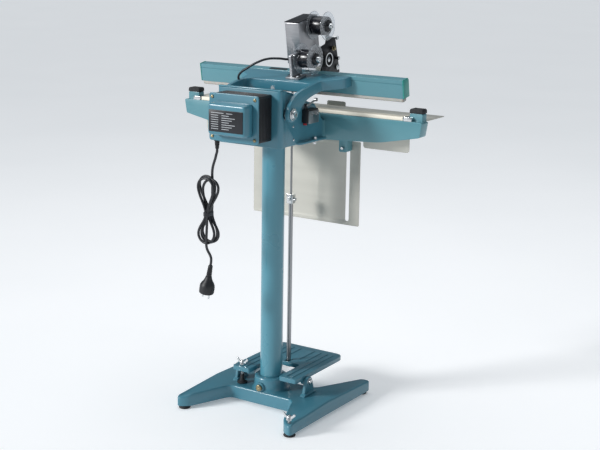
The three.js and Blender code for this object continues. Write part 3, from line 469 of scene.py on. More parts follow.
def softenedNode(nodeName, width, segments=2, material=None, name=None, angle=32):
    # a merged copy of a frame node with its edges rounded; width in mm
    source = nodes[nodeName]
    piece = source.copy()
    piece.data = source.data.copy()
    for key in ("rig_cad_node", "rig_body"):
        del piece[key]
    piece.parent = None
    piece.matrix_world = metrePlace
    bpy.context.scene.collection.objects.link(piece)
    piece.data.transform(Matrix.Scale(1000, 4))
    activate(piece)
    bpy.ops.mesh.customdata_custom_splitnormals_clear()
    bpy.ops.object.mode_set(mode="EDIT")
    bpy.ops.mesh.select_all(action="SELECT")
    bpy.ops.mesh.remove_doubles(threshold=0.003)
    bpy.ops.mesh.dissolve_limited(angle_limit=math.radians(0.6))
    bpy.ops.object.mode_set(mode="OBJECT")
    softEdges(piece, width, segments, angle)
    piece.data.transform(Matrix.Scale(mm, 4))
    slot = slotOfNode[nodeName]
    words = nodeName.split("_")
    newName = name or words[0] + "".join(word.capitalize() for word in words[1:])
    return finishPiece(piece, newName, material or slotMaterials[slot], bodyOfNode[nodeName],
                       replaces=[nodeName])


# Mains lead: 1.55 m of 6.8 mm flex, from the gland through a tied hank to the plug
lead = {"diameter": 6.8, "tie": (84, 172, 548 - 726), "turns": 3, "foldRadius": 24.4,
        "halfTurns": [((78, 5), (96, 9)), ((73, -7), (90, -10)), ((77, 4), (93, 3))]}
leadStart = [(61, 166, -8.3), (61.5, 166, -16), (64, 165.3, -22), (68, 164.3, -34), (73, 163.4, -46),
             (77, 162.8, -58), (79, 162.6, -73.4)]
leadIntoHank = [(80.4, 159.8, -88), (81.2, 158.8, -112), (81, 159.2, -136), (80.5, 160.6, -158)]
leadTail = [(80.4, 182.4, -178), (80.6, 183.2, -200), (81, 184.3, -226), (81.8, 184.4, -248),
            (82.2, 182.8, -264), (80.6, 179.6, -274), (77, 176, -284), (75, 173.5, -293), (75.6, 172.3, -303),
            (77.2, 172, -312.6)]


def hankPoints():
    # each half turn leaves the tie, swings out, goes round an arc and comes back beside where it left
    tieX, tieY, tieZ = lead["tie"]
    strand = lead["diameter"] * 0.53
    layer = lead["diameter"] * 1.05
    radius = lead["foldRadius"]
    points = []
    for turn in range(lead["turns"]):
        for half, direction in ((0, -1), (1, 1)):
            height, lean = lead["halfTurns"][turn][half]
            leg = height - radius
            outline = [(strand + (radius - strand) * t * t * (3 - 2 * t), leg * t)
                       for t in (0, 0.25, 0.5, 0.75)]
            arc = [(radius * math.cos(a), leg + radius * math.sin(a)) for a in
                   [math.pi * k / 6 for k in range(7)]]
            outline += arc + [(-x, z) for x, z in reversed(outline[1:])]
            for k, (x, z) in enumerate(outline):
                reach = z / height
                x = tieX + direction * x + lean * reach * reach * (3 - 2 * reach)
                y = tieY + layer * (turn - 1.5 + (half + k / len(outline)) / 2)
                points.append((x, y, tieZ + direction * z))
    return points


def curvePiece(name, points, radius, place, sides=4):
    curveData = bpy.data.curves.new(name, "CURVE")
    curveData.dimensions = "3D"
    curveData.bevel_depth = radius * mm
    curveData.bevel_resolution = sides
    curveData.resolution_u = 6
    curveData.use_fill_caps = True
    spline = curveData.splines.new("BEZIER")
    spline.bezier_points.add(len(points) - 1)
    for knot, point in zip(spline.bezier_points, points):
        knot.co = place @ Vector(point)
        knot.handle_left_type = "AUTO"
        knot.handle_right_type = "AUTO"
    piece = bpy.data.objects.new(name, curveData)
    bpy.context.scene.collection.objects.link(piece)
    return piece


mainsRoute = leadStart + leadIntoHank + hankPoints() + leadTail
mainsFlex = curvePiece("mainsFlex", mainsRoute, lead["diameter"] / 2, headPlace, 5)
mainsFlex.data.materials.append(pvcJacket)
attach(mainsFlex, "root")
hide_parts("mains_lead", "cord_hank", "cord_tail")


# Twist tie round the pinch of the hank
def cordTie():
    tieX, tieY, tieZ = lead["tie"]
    wide, deep = 8.2, 15.2
    corners = [(tieX - wide, tieY - deep, 7), (tieX + wide, tieY - deep, 7),
               (tieX + wide, tieY + deep, 7), (tieX - wide, tieY + deep, 7)]
    band = outlinePlate(corners, "z", tieZ - 5, tieZ + 5)
    inner = [(x + (1.1 if x < tieX else -1.1), y + (1.1 if y < tieY else -1.1), 6)
             for x, y, radius in corners]
    cutWith(band, outlinePlate(inner, "z", tieZ - 6, tieZ + 6))
    tail = outlinePlate([(tieX - 3, tieZ - 3), (tieX + 3, tieZ - 3), (tieX + 2, tieZ + 13),
                         (tieX - 2, tieZ + 13)],
                        "y", tieY + deep, tieY + deep + 1.2)
    piece = softEdges(joined([band, tail]), 0.35)
    return finishPiece(piece, "cordTie", nylonTie, "root", headPlace)


# Moulded two-pin plug, round with a waisted neck and bend-relief rings
def mainsPlug():
    tilt = math.radians(10.5)
    profile = [(0, 0), (4.6, 0), (5.6, -2)]
    for ring in range(5):
        top = -4 - ring * 5.2
        profile += [(6.1 + ring * 0.25, top), (6.1 + ring * 0.25, top - 2.8), (4.9 + ring * 0.3, top - 3.3),
                    (4.9 + ring * 0.3, top - 4.7)]
    profile += [(8, -31), (9.4, -37), (12, -43), (16.4, -49.5), (18.9, -55), (19.5, -60), (19.5, -74),
                (18.9, -77), (17.6, -78), (16.4, -77), (16, -75), (0, -75)]
    body = turned("z", (0, 0, 0), profile, 64)
    grips = []
    for side in (-1, 1):
        for k in range(4):
            grip = block((side * 17.4 - 2.4, -7, -60 - k * 4.4), (side * 17.4 + 2.4, 7, -58 - k * 4.4))
            grips.append(softEdges(grip, 0.6))
    place = headPlace @ Matrix.Translation((77.3, 172, -313.2)) @ Matrix.Rotation(-tilt, 4, "Y")
    plug = finishPiece(joined([body, *grips]), "plugBody", blackAbs, "root", place,
                       ["mains_plug"])
    pinProfile = [(0, -92), (1.4, -92), (2.3, -91), (2.4, -90), (2.4, -74), (0, -74)]
    pins = joined([turned("z", (x, 0, 0), pinProfile, 24) for x in (-9.5, 9.5)])
    pinPiece = finishPiece(pins, "plugPins", brightPlate, "root", place)
    return plug, pinPiece


# Gland with bend-relief ribs
def cableGland():
    profile = [(0, -8), (4.1, -8), (4.5, -7)]
    for ring in range(4):
        low = -6.5 + ring * 4
        radius = 4.7 + ring * 0.5
        profile += [(radius, low), (radius + 0.4, low + 2.2), (radius - 0.5, low + 2.6),
                    (radius - 0.4, low + 3.6)]
    profile += [(6.6, 12), (8, 13), (8, 17.4), (4, 17.6), (4, 24), (0, 24)]
    body = turned("z", (61, 166, 0), profile, 32)
    return finishPiece(body, "glandRelief", blackRubber, "root", headPlace, ["cable_gland"])


tieBand = cordTie()
plugBody, plugPins = mainsPlug()
gland = cableGland()
print("mains lead made")

# Printer's flex: a low arch from the printer to the yoke's right arm
printerRoute = [(-4, -171.7, 92), (-4, -164, 92), (9, -140, 99), (30, -118, 102), (55, -102, 94),
                (80, -95, 80), (100, -92, 67), (108.5, -92, 56), (108.5, -92, 48.6)]
printerFlex = curvePiece("printerFlex", printerRoute, 3, yokePlace, 4)
printerFlex.data.materials.append(pvcJacket)
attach(printerFlex, "yoke")
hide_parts("printer_cable")
print("printer flex made")


# Castings and pressings: the frame's own shapes with the edges a foundry or a press leaves
castEdges = {
    "head_frame": 1.8, "lower_jaw_beam": 0.9, "yoke_casting": 2.2, "pedal_plate": 0.35,
}
for nodeName, width in castEdges.items():
    softenedNode(nodeName, width, 3, barEnamel if nodeName == "lower_jaw_beam" else None)
thinEdges = {
    "head_cover": 1.0, "upper_jaw_bar": 0.4, "bar_end_left": 0.6, "bar_end_right": 0.6, "silicone_strip": 0.8,
    "work_table": 0.4, "hanging_plate": 0.4, "printer_mount": 0.7, "printer_housing": 1.2,
    "printer_plate": 0.6,
    "band_clamp_left": 0.4, "band_clamp_right": 0.4, "microswitch": 0.6, "microswitch_bracket": 0.4,
    "microswitch_lever": 0.15, "power_switch": 0.5, "rating_plate": 0.2, "column_clamp_screw": 0.4,
    "control_box": 0.25, "type_head": 0.3, "heating_band": 0.1, "ptfe_cover": 0.1,
    "rod_pin": 0.2, "transformer": 0.4,
}
for nodeName, width in thinEdges.items():
    sheet = barEnamel if nodeName == "upper_jaw_bar" else sheetEnamel
    softenedNode(nodeName, width, 2, sheet if slotOfNode[nodeName] == "teal_enamel" else None)
print("castings and pressings softened")


# Base: four splayed legs of one casting, rounded all along the top
base = {"low": 8, "top": 44, "edge": 4.5}


def lofted(layers):
    # one ring of points a layer, with the first and the last closed
    deselectAll()
    bpy.ops.mesh.primitive_circle_add(vertices=len(layers[0]), radius=1, fill_type="NGON")
    piece = bpy.context.object
    for vertex, point in zip(piece.data.vertices, layers[0]):
        vertex.co = point
        vertex.select = True
    bpy.ops.object.mode_set(mode="EDIT")
    bpy.ops.mesh.select_all(action="SELECT")
    bpy.ops.object.mode_set(mode="OBJECT")
    for before, layer in zip(layers, layers[1:]):
        bpy.ops.object.mode_set(mode="EDIT")
        bpy.ops.mesh.extrude_region_move(TRANSFORM_OT_translate={"value": (0, 0, 0)})
        bpy.ops.object.mode_set(mode="OBJECT")
        for vertex in piece.data.vertices:
            if vertex.select:
                nearest = min(range(len(before)), key=lambda k: (before[k] - vertex.co).length_squared)
                vertex.co = layer[nearest]
    return cleanNormals(piece)


def basePlan(inset):
    right = [(100, -64, 16), (160, -218, 10), (188, -218, 14), (184, 0), (182, 190, 16.5), (151, 174, 16.5),
             (100, 50, 16)]
    corners = right + [(-corner[0], *corner[1:]) for corner in reversed(right)]
    points = roundedCorners(corners, 8)
    moved = []
    for k, point in enumerate(points):
        along = points[(k + 1) % len(points)] - points[k - 1]
        moved.append(point + Vector((-along.y, along.x)).normalized() * inset)
    return moved


def basePlinth():
    low, top, edge = base["low"], base["top"], base["edge"]
    levels = [(0.8, low), (0, low + 1.2), (0, top - edge)]
    levels += [(edge * (1 - math.cos(a)), top - edge + edge * math.sin(a)) for a in
               [math.pi / 2 * k / 6 for k in range(1, 7)]]
    layers = []
    for inset, level in levels:
        layer = []
        for x, y in basePlan(inset):
            # the toes slope down toward the front and the back
            drop = 0.055 * max(0, -70 - y) + 0.0058 * max(0, y - 140) ** 2
            layer.append(Vector((x, y, low + (level - low) * (1 - drop / (top - low)))))
        layers.append(layer)
    return lofted(layers)


def baseCasting():
    plinth = basePlinth()
    ring = turned("z", (0, 0, 0), [
        (30.4, 13), (46.4, 13), (46.4, 44), (53, 44), (50, 45.6), (47.6, 48.6), (46.2, 53), (45.6, 60),
        (45, 76), (44.2, 79.6), (42, 81.6), (39, 82), (33, 82), (31.4, 81.2), (30.4, 79.6), (30.4, 13),
    ], 96)
    pad = turned("y", (4, 0, 56), [(0, 34), (15, 34), (13.4, 47), (13, 50), (12, 51), (4.4, 51), (4.4, 34.5),
                                   (0, 34.5)], 48)
    parts = [plinth, ring, pad]
    for mirrorSide in (-1, 1):
        for outline, half, width in (([(12, 40), (0, 92, 10), (-24, 92, 10), (-42, 40)], 4.5, 1.6),
                                     ([(18, 42), (10, 50, 3), (-34, 50, 3), (-48, 42)], 8, 2.4)):
            lug = outlinePlate(outline, "x", mirrorSide * 109.5 - half, mirrorSide * 109.5 + half)
            parts.append(softEdges(lug, width, 3))
    return finishPiece(joined(parts), "baseCasting", castEnamel, "root", machinePlace,
                       ["base_casting"])


def feet():
    profile = [(0, 0), (13, 0), (14.6, 0.5), (15.6, 1.6), (16, 3), (15.4, 4), (14.4, 5.4), (14, 7.7),
               (0, 7.7)]
    places = {"foot_back_left": (-168, 167), "foot_back_right": (168, 167),
              "foot_front_left": (-168, -200), "foot_front_right": (168, -200)}
    first = turned("z", (0, 0, 0), profile, 40)
    for nodeName, (x, y) in places.items():
        words = nodeName.split("_")
        name = words[0] + "".join(word.capitalize() for word in words[1:])
        finishPiece(copied(first, (x, y, 0)), name, blackRubber, "root", machinePlace,
                    [nodeName])
    bpy.data.objects.remove(first)


def columnTube():
    tube = turned("z", (0, 0, 0), [(27, 14.3), (29.6, 14.3), (30, 14.8), (30, 753.6), (29.6, 754), (27, 754),
                                   (27, 14.3)], 128)
    return finishPiece(tube, "columnTube", sheetEnamel, "root", machinePlace, ["column_tube"])


baseCasting()
feet()
columnTube()
print("base made")


# Wing nuts and screws
stopX, stopY = 83, 18


def wingScrew(x, y, low, hub, radius=4):
    # stem with a visible thread, a domed hub and two ears
    profile = [(0, low), (radius - 0.6, low), (radius, low + 0.8)]
    level = low + 1.4
    while level < hub - 2:
        profile += [(radius, level), (radius - 0.45, level + 0.6)]
        level += 1.25
    profile += [(radius, hub), (7.6, hub), (7.4, hub + 1), (6.2, hub + 7), (5.2, hub + 11), (4, hub + 12),
                (0, hub + 12.4)]
    stem = turned("z", (x, y, 0), profile, 32)
    ears = []
    for side in (-1, 1):
        outline = [(5, 1), (10, 4, 3), (18.5, 12, 2), (19.5, 17, 3), (15, 18.5, 3), (9.5, 12, 3), (4.5, 9)]
        ear = outlinePlate([(x + side * u, hub + v, *radius) for u, v, *radius in outline],
                           "y", y - 1.6, y + 1.6)
        ears.append(softEdges(ear, 0.8, 3))
    return joined([stem, *ears])


finishPiece(wingScrew(-168, 170, 20.3, 44.6), "levelingScrew", brightPlate, "leveler",
            machinePlace, ["leveling_screw"])
finishPiece(wingScrew(stopX, stopY, 60, 96.4), "stopWingScrew", brightPlate, "stop",
            machinePlace, ["stop_screw"])
bumperProfile = [(0, 44.3), (13, 44.3), (14, 45), (14.2, 46.8), (12.6, 48.4), (9.4, 50.2), (7, 52.6),
                 (5.6, 56), (5.4, 68), (5, 69), (4.2, 69), (4.2, 66), (0, 66)]
finishPiece(turned("z", (stopX, stopY, 0), bumperProfile, 40), "stopBumper", blackRubber, "stop",
            machinePlace)
lockNut = softEdges(outlinePlate(hexagon(stopX, stopY, 8), "z", 83, 91.6), 0.7)
finishPiece(lockNut, "stopLockNut", brightPlate, "stop", machinePlace)


def slottedHead(axis, centre, radius, height, slotWidth=1.6):
    # domed head standing along +axis, with a driver slot
    profile = [(0, 0), (radius * 0.96, 0), (radius, height * 0.25), (radius * 0.92, height * 0.62),
               (radius * 0.7, height * 0.88), (radius * 0.35, height), (0, height)]
    head = turned(axis, centre, profile, 32)
    middle = Vector(centre)
    reach = alongAxis(axis, radius * 1.2, slotWidth / 2, 0)
    low = middle - reach + alongAxis(axis, 0, 0, height * 0.55)
    high = middle + reach + alongAxis(axis, 0, 0, height * 1.5)
    return cutWith(head, block(low, high))


# Brass pan heads hold the timer box cover
for index, (x, z) in enumerate([(-64, 126), (64, 126), (-64, 27), (64, 27)]):
    finishPiece(slottedHead("y", (x, 182, z), 4.4, 3.0), f"coverScrew{index + 1}", satinBrass, "root",
                headPlace)


# Timer box cover: a cast lid with a raised centre
def boxCover():
    flange = softEdges(outlinePlate([(-74, 16, 7), (74, 16, 7), (74, 136, 7), (-74, 136, 7)], "y", 177.3,
                                    182),
                       1.4, 3)
    raised = outlinePlate([(-59, 33, 10), (59, 33, 10), (59, 117, 10), (-59, 117, 10)], "y", 181, 214)
    for vertex in raised.data.vertices:
        if vertex.co.y > 200:
            vertex.co.x *= 56 / 59
            vertex.co.z = 75 + (vertex.co.z - 75) * 39 / 42
    softEdges(raised, 6, 5, 40)
    return finishPiece(joined([flange, raised]), "timerBoxCover", castEnamel, "root",
                       headPlace, ["control_box_cover"])


boxCover()


# Moulded ribs on the sides and top of the black box
def boxRibs():
    ribs = []
    for k in range(8):
        y = 124 + k * 6.4
        for low, high in (((-71, y, 24), (-69.4, y + 2.2, 128)), ((69.4, y, 24), (71, y + 2.2, 128))):
            ribs.append(softEdges(block(low, high), 0.5))
        ribs.append(softEdges(block((-62, y, 133.4), (62, y + 2.2, 134.8)), 0.5))
    return finishPiece(joined(ribs), "boxRibs", blackAbs, "root", headPlace)


boxRibs()


# Pale rules on the label, in place of print
def labelRules():
    faceY = 215.3
    # height, then the ends as read from behind, where +X is on the left
    rows = [(92, -44, -6), (92, 2, 20)] + [(86 - 5.6 * k, -44, -22) for k in range(7)]
    rows += [(86 - 5.6 * k, -12, 10 + 9 * ((k * 5) % 3)) for k in range(7)]
    rules = [softEdges(block((-end, faceY - 0.2, z - 0.7), (-start, faceY + 0.12, z + 0.7)), 0.05)
             for z, start, end in rows]
    return finishPiece(joined(rules), "labelRules", paleInk, "root", headPlace)


labelRules()
print("timer box made")


# Hinge: washers, spacers and a socket screw at each end
def hingeShaft():
    parts = []
    for side in (-1, 1):
        def rings(profile, steps=56):
            return turned("x", (0, 88, 85), [(radius, side * along) for radius, along in profile], steps)
        parts.append(rings([(8, 94.2), (15, 94.2), (15.5, 94.8), (15.5, 102.2), (15, 102.7), (8, 102.7),
                            (8, 94.2)]))
        parts.append(rings([(8, 114.3), (15, 114.3), (15.5, 114.8), (15.5, 116.4), (14.8, 117), (8, 117),
                            (8, 114.3)]))
        head = rings([(0, 117), (10.5, 117), (10.8, 117.6), (10.8, 121.6), (9.8, 123), (0, 123)], 56)
        socketEnds = sorted((side * 119.5, side * 126))
        socket = outlinePlate(hexagon(88, 85, 5), "x", *socketEnds)
        parts.append(cutWith(head, socket))
    parts.append(turned("x", (0, 88, 85), [(0, -118), (7.9, -118), (7.9, 118), (0, 118)], 40))
    return finishPiece(joined(parts), "hingeShaft", brightPlate, "root", headPlace,
                       ["hinge_shaft"])


hingeShaft()


def hexBolt(axis, centre, across, height, facing=1, washer=True):
    # facing is +1 or -1 along the axis
    u, v = [value for key, value in zip("xyz", centre) if key != axis]
    along = dict(zip("xyz", centre))[axis]
    radius = across / math.sqrt(3)
    corners = hexagon(u, v, radius)
    start = along + facing * (1.2 if washer else 0)
    low, high = sorted((start, start + facing * height))
    parts = [softEdges(outlinePlate(corners, axis, low, high), across * 0.06)]
    if washer:
        wide = radius * 1.25
        profile = [(0, 0), (wide, 0), (wide, facing * 1.0), (wide - 0.4, facing * 1.3), (0, facing * 1.3)]
        parts.append(turned(axis, centre, profile, 32))
    return joined(parts)


# Screws on the head's sides and ledges, and the bolts of the pedal's pivot
screwsNode = []
for side in (-1, 1):
    for y, z in ((54, 49), (53, 15)):
        screwsNode.append(turned("x", (side * 94, y, z),
                                 [(0, 0), (3.2, 0), (3.2, side * 0.8), (2.4, side * 1.8),
                                                       (0, side * 2.1)], 24))
    screwsNode.append(hexBolt("z", (side * 100, -40, 6), 9, 5))
    screwsNode.append(hexBolt("z", (side * 100, -40, 0), 8, 6, -1))
finishPiece(joined(screwsNode), "headScrews", brightPlate, "root", headPlace)
pivotBolts = [hexBolt("x", (side * 114, -12, 80), 13, 6, side) for side in (-1, 1)]
finishPiece(joined(pivotBolts), "pedalPivotBolts", brightPlate, "pedal", machinePlace)

lampProfile = [(0, 0), (5.4, 0), (5.6, 1), (5, 1.6), (4.8, 5), (4.2, 7), (2.8, 8.2), (0, 8.6)]
finishPiece(turned("z", (-61, 100, 146.3), lampProfile, 32), "pilotLamp", clearStyrene, "root",
            headPlace, ["pilot_lamp"])


# Pull rod: eye, stem, clamp collar with its set screw, thin upper rod and its nuts
rodY = -87


def pullRod():
    stem = turned("z", (0, rodY, 0), [(0, 88), (5.2, 88), (5.5, 92), (6, 101), (6, 553), (5.6, 553.2),
                                      (0, 553.2)], 40)
    eye = turned("x", (0, rodY, 85), [(3.3, -6), (7.4, -6), (8, -5.4), (8, 5.4), (7.4, 6), (3.3, 6),
                                      (3.3, -6)], 40)
    finishPiece(joined([stem, eye]), "lowerPullRod", drawnSteel, "pull_rod", machinePlace,
                ["lower_pull_rod"])
    clamp = softEdges(outlinePlate([(-9.5, -96, 3), (9.5, -96, 3), (9.5, -78, 3), (-9.5, -78, 3)], "z", 541,
                                   566),
                      0.8)
    cutWith(clamp, turned("z", (0, rodY, 0),
                          [(0, 530), (6.1, 530), (6.1, 553), (3.2, 553), (3.2, 580), (0, 580)], 40))
    screw = hexBolt("x", (-9.5, rodY, 553), 8, 5, -1)
    screwRear = turned("y", (0, -78, 553), [(0, 0), (4.4, 0), (4.4, 3.4), (3.6, 4.2), (0, 4.4)], 24)
    finishPiece(joined([clamp, screw, screwRear]), "rodClamp", brightPlate, "pull_rod",
                machinePlace, ["rod_coupler"])
    upper = turned("z", (0, rodY, 0), [
        (0, 553.8), (3, 553.8), (3, 770.3), (7.6, 770.3), (8, 770.7), (8, 775.6), (7.6, 776), (3, 776),
        (3, 891), (2.9, 899.6), (0, 899.8),
    ], 32)
    nut = softEdges(outlinePlate(hexagon(0, rodY, 8), "z", 891, 897.5), 0.7)
    return finishPiece(joined([upper, nut]), "upperPullRod", drawnSteel, "pull_rod",
                       machinePlace, ["upper_pull_rod"])


pullRod()


# Return spring between the head and the rod's collar, drawn as a fixed coil; on the machine it shortens as
# the jaw comes down
def returnSpring():
    spring = {"wire": 1.1, "radius": 6.6, "low": 8.9, "high": 43.3, "turns": 8}
    points = []
    for k in range(spring["turns"] * 12 + 1):
        angle = math.tau * k / 12
        height = spring["low"] + spring["wire"] / 2
        height += (spring["high"] - spring["low"] - spring["wire"]) * k / (spring["turns"] * 12)
        points.append((spring["radius"] * math.cos(angle), rodY + spring["radius"] * math.sin(angle), height))
    coil = curvePiece("returnSpring", points, spring["wire"], headPlace, 2)
    coil.data.resolution_u = 2
    activate(coil)
    bpy.ops.object.convert(target="MESH")
    coil = finishPiece(bpy.context.object, "returnSpring", drawnSteel, "root",
                       replaces=["return_spring"])
    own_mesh(coil)
    return coil


returnSpring()
print("rod and spring made")


# Jaw: rubber caps with a slot, plate bolts
def jawCap(side):
    name = {-1: "left", 1: "right"}[side]
    x0, x1 = sorted((side * 330, side * 368))
    cap = outlinePlate([(x0, 84.3, 3), (x1, 84.3, 3), (x1 - 1, 96, 5), (x0 + 1, 96, 5)], "y", -143, -118)
    cutWith(cap, outlinePlate([(x0 + 6, -135, 3), (x1 - 6, -135, 3), (x1 - 6, -127, 3), (x0 + 6, -127, 3)],
                              "z", 93, 98))
    softEdges(cap, 1.4, 3)
    finishPiece(cap, f"jawCap{name.capitalize()}", blackRubber, "root", headPlace,
                [f"jaw_cap_{name}"])
    bolt = hexBolt("y", (side * 133, -160.3, -27), 13, 5, -1)
    shank = turned("y", (side * 133, 0, -27), [(0, -161), (4, -161), (4, -122.6), (3.4, -122), (0, -122)], 24)
    washer = turned("y", (side * 133, 0, -27),
                    [(4, -157.6), (9, -157.6), (9, -156.2), (4, -156.2), (4, -157.6)], 32)
    finishPiece(joined([bolt, shank, washer]), f"plateBolt{name.capitalize()}", brightPlate, "root",
                headPlace, [f"plate_bolt_{name}"])


for side in (-1, 1):
    jawCap(side)


# Timer knob: fluted skirt, pointer line; scale ring on the head
def timerKnob():
    profile = [(0, 85), (4, 85), (4, 94.3), (17.4, 94.3), (18, 95), (18, 97.4), (17, 98.2), (14, 99),
               (13.4, 101), (12.6, 110.6), (11.6, 112), (0, 112)]
    knob = turned("x", (0, 20, 62), profile, 64)
    flutes = []
    for k in range(14):
        angle = math.tau * k / 14
        flutes.append(turned("x", (0, 20 + 14.2 * math.cos(angle), 62 + 14.2 * math.sin(angle)),
                             [(0, 99.8), (1.6, 99.8), (1.6, 114), (0, 114)], 16))
    cutWith(knob, joined(flutes))
    finishPiece(knob, "timerKnob", blackAbs, "knob", headPlace, ["timer_knob"])
    pointer = softEdges(block((111.6, 19.2, 62), (112.6, 20.8, 73)), 0.2)
    finishPiece(pointer, "knobPointer", paleInk, "knob", headPlace)
    ticks = []
    for k in range(11):
        angle = math.radians(-150 + 30 * k)
        y, z = 20 + 21.5 * math.sin(angle), 62 + 21.5 * math.cos(angle)
        ticks.append(turned("x", (94, y, z), [(0, -0.2), (1.1, -0.2), (1.1, 0.25), (0, 0.25)], 12))
    finishPiece(joined(ticks), "timerScale", paleInk, "root", headPlace)
    bezel = outlinePlate([(-49, 45.5, 2), (-27, 45.5, 2), (-27, 78.5, 2), (-49, 78.5, 2)], "x", 94.1, 96)
    cutWith(bezel, block((92, -46, 48.6), (98, -30, 75.4)))
    finishPiece(softEdges(bezel, 0.5), "switchBezel", blackAbs, "root", headPlace)


timerKnob()


# Switch on the left: red terminal sleeve, rivets
sleeve = softEdges(block((-108, 8.6, 48), (-98, 13.4, 53)), 0.8)
finishPiece(sleeve, "terminalSleeve", redSleeve, "root", headPlace)
rivets = [turned("x", (-114.3, y, z), [(0, 0), (2.6, 0), (2.4, -0.9), (1.2, -1.5), (0, -1.6)], 24)
          for y, z in ((-26, 77), (-6, 77))]
finishPiece(joined(rivets), "bracketRivets", brightPlate, "root", headPlace)
print("controls made")


# Printer: clear reels with wound foil, chrome knobs, screws, guide bar
def reel(name, nodeName, ribbonNode, body, centre, radius, woundRadius, hubStart):
    flangeRight, flangeLeft = -40.6, -84
    parts = []
    for inner, outer in ((flangeRight - 1.6, flangeRight), (flangeLeft, flangeLeft + 1.6)):
        parts.append(turned("x", centre, [(8, inner), (radius - 0.6, inner), (radius, inner + 0.5),
                                          (radius, outer - 0.5), (radius - 0.6, outer), (8, outer),
                                          (8, inner)], 72))
    parts.append(turned("x", centre, [(7, -84), (9.4, -84), (9.4, -41), (7, -41), (7, -84)], 40))
    finishPiece(joined(parts), name, clearStyrene, body, yokePlace, [nodeName])
    wound = turned("x", centre, [(9.6, -81.8), (woundRadius, -81.8), (woundRadius + 0.3, -81),
                                 (woundRadius + 0.3, -43.6), (woundRadius, -42.8), (9.6, -42.8),
                                 (9.6, -81.8)], 64)
    finishPiece(wound, name + "Foil", foilRibbon, body, yokePlace, [ribbonNode])
    core = turned("x", centre, [(0, -80), (15, -80), (15.4, -84.4), (15.8, -85), (15.4, -87), (12.6, -88.2),
                                (11.8, -89.6), (8.6, -90), (0, -90)], 56)
    holes = []
    for k in range(3):
        angle = math.tau * k / 3 + 0.4
        holes.append(turned("x", Vector(centre) + Vector((0, 11.8 * math.cos(angle), 11.8 * math.sin(angle))),
                            [(0, -80), (1.8, -80), (1.8, -95), (0, -95)], 16))
    cutWith(core, joined(holes))
    finishPiece(core, name + "Hub", blackAbs, body, yokePlace)
    knob = turned("x", centre, [(0, hubStart), (3, hubStart), (3, -79), (6.8, -79), (7.8, -90.4),
                                (7.6, -92.4), (7.4, -97), (6.6, -98), (3.6, -98), (3.2, -97), (0, -96.6)], 56)
    finishPiece(knob, name + "Knob", brightPlate, body, yokePlace)


reel("supplyReel", "supply_spool", "supply_ribbon", "supply", (0, -240, 166), 37, 24, -30)
reel("takeupReel", "takeup_spool", "takeup_ribbon", "takeup", (0, -168, 96), 39, 23, -25)

roller = turned("x", (0, -277, 66), [(0, -39), (3, -39), (3, -42.6), (19.4, -42.6), (20, -43.2), (20, -57.8),
                                     (19.2, -58.3), (15, -58.3), (14.2, -54.3), (0, -54.3)], 56)
finishPiece(roller, "feedRoller", blackRubber, "roller", yokePlace, ["feed_roller"])
rim = turned("x", (0, -277, 66), [(15.6, -57.6), (18.2, -57.6), (18.4, -59), (15.4, -59), (15.6, -57.6)], 56)
cap = turned("x", (0, -277, 66), [(0, -54), (6.4, -54), (6.2, -58), (5, -59), (0, -59.2)], 32)
finishPiece(joined([rim, cap]), "rollerRim", brightPlate, "roller", yokePlace)


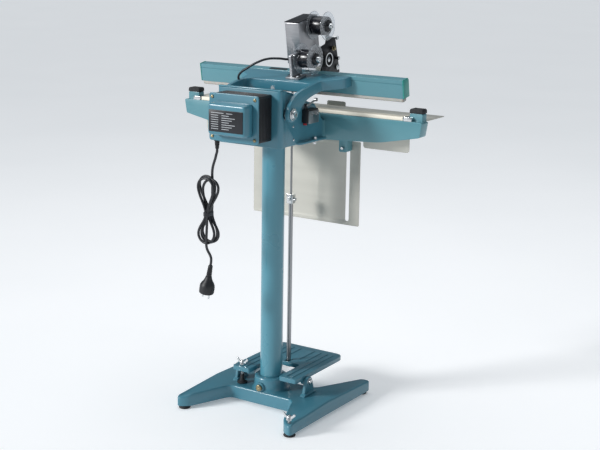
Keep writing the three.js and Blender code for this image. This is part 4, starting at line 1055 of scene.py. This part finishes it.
def printerTrim():
    brassBolt = hexBolt("x", (-47.3, -320, 86), 10, 5, -1)
    finishPiece(brassBolt, "printerBolt", satinBrass, "yoke", yokePlace)
    thumb = turned("x", (-47, -338, 54), [(0, 0), (4.4, 0), (4.8, -0.6), (4.8, -5.4), (4.2, -6), (0, -6.2)],
                   24)
    latchOutline = [(-349, 22, 3), (-334, 22, 3), (-331, 34, 3), (-346, 36, 3)]
    latch = softEdges(outlinePlate(latchOutline, "x", -46, -42.6), 0.8)
    guide = turned("x", (0, -309, 118), [(0, -70), (2.8, -70), (3.2, -69.4), (3.2, -34.6), (2.8, -34),
                                         (0, -34)], 32)
    collar = turned("x", (0, -309, 118), [(3.2, -70), (5.4, -70), (5.4, -66), (3.2, -66), (3.2, -70)], 32)
    armOutline = [(-315, 112, 2), (-303, 112, 2), (-300, 124, 4), (-318, 124, 4)]
    arm = softEdges(outlinePlate(armOutline, "x", -37.8, -34.2), 0.5)
    parts = [thumb, latch, guide, collar, arm]
    for y, z in ((-141, 54), (-157, 54)):
        parts.append(hexBolt("z", (-44, y, z), 6, 3, 1, False))
    finishPiece(joined(parts), "printerTrim", brightPlate, "yoke", yokePlace)
    # A thin black plate on the yoke's top is painted shade: it stands for the dark inside a slot there, not
    # for a part.
    slotShadePlate = softEdges(block((35, -221, 48.5), (90, -208, 49.5)), 0.3)
    finishPiece(slotShadePlate, "jawWindow", blackAbs, "yoke", yokePlace)
    lidOutline = [(-264.6, 187), (-264.6, 189), (-171.4, 189), (-171.4, 187)]
    lid = softEdges(outlinePlate(lidOutline, "x", -38.6, 4.6), 0.5)
    finishPiece(lid, "printerLid", blackAnodised, "yoke", yokePlace)


printerTrim()
print("printer made")


# Stage: pale floor, soft daylight
def studio():
    bpy.ops.mesh.primitive_plane_add(size=60, location=(0, 0, 0))
    floor = bpy.context.object
    floor.name = "floor"
    material = coatedSurface("paleFloor", {
        "colours": ("#F4F5F6", "#F8F8F9"), "patchMm": 800, "grainMm": 60, "gloss": (0.7, 0.8), "bumpMm": 0.05,
        "shader": {"Emission Color": linearColour("#F4F6F8"), "Emission Strength": 0.24},
    })[0]
    floor.data.materials.append(material)
    world = bpy.data.worlds.new("studioWorld")
    bpy.context.scene.world = world
    world.use_nodes = True
    tree = world.node_tree
    tree.nodes.clear()
    # a white room to look at that gives only a little light
    direct = addNode(tree, "ShaderNodeLightPath").outputs["Is Camera Ray"]
    seen = addNode(tree, "ShaderNodeBackground", {"Color": linearColour("#F9FAFA"), "Strength": 1.0})
    given = addNode(tree, "ShaderNodeBackground", {"Color": linearColour("#D6E4F0"), "Strength": 0.26})
    mixed = addNode(tree, "ShaderNodeMixShader", links={0: direct, 1: given.outputs[0], 2: seen.outputs[0]})
    addNode(tree, "ShaderNodeOutputWorld", links={"Surface": mixed.outputs[0]})
    # name, kind, place, size in metres (or the sun's angle in degrees), power
    lamps = [("keyLamp", "SUN", (2.5, 3.3, 2.2), 14, 2.7), ("fillLamp", "AREA", (-3.4, 1.2, 1.4), 1.8, 8),
             ("topLamp", "AREA", (0.3, -0.4, 3.6), 3.0, 48)]
    for name, kind, spot, size, power in lamps:
        lampData = bpy.data.lights.new(name, kind)
        if kind == "SUN":
            lampData.angle = math.radians(size)
        else:
            lampData.size = size
        lampData.energy = power
        lamp = bpy.data.objects.new(name, lampData)
        bpy.context.scene.collection.objects.link(lamp)
        lamp.location = spot
        lamp.rotation_mode = "QUATERNION"
        lamp.rotation_quaternion = (Vector((0, 0, 0.55)) - Vector(spot)).to_track_quat("-Z", "Y")
    bpy.context.scene.view_settings.view_transform = "Standard"


studio()
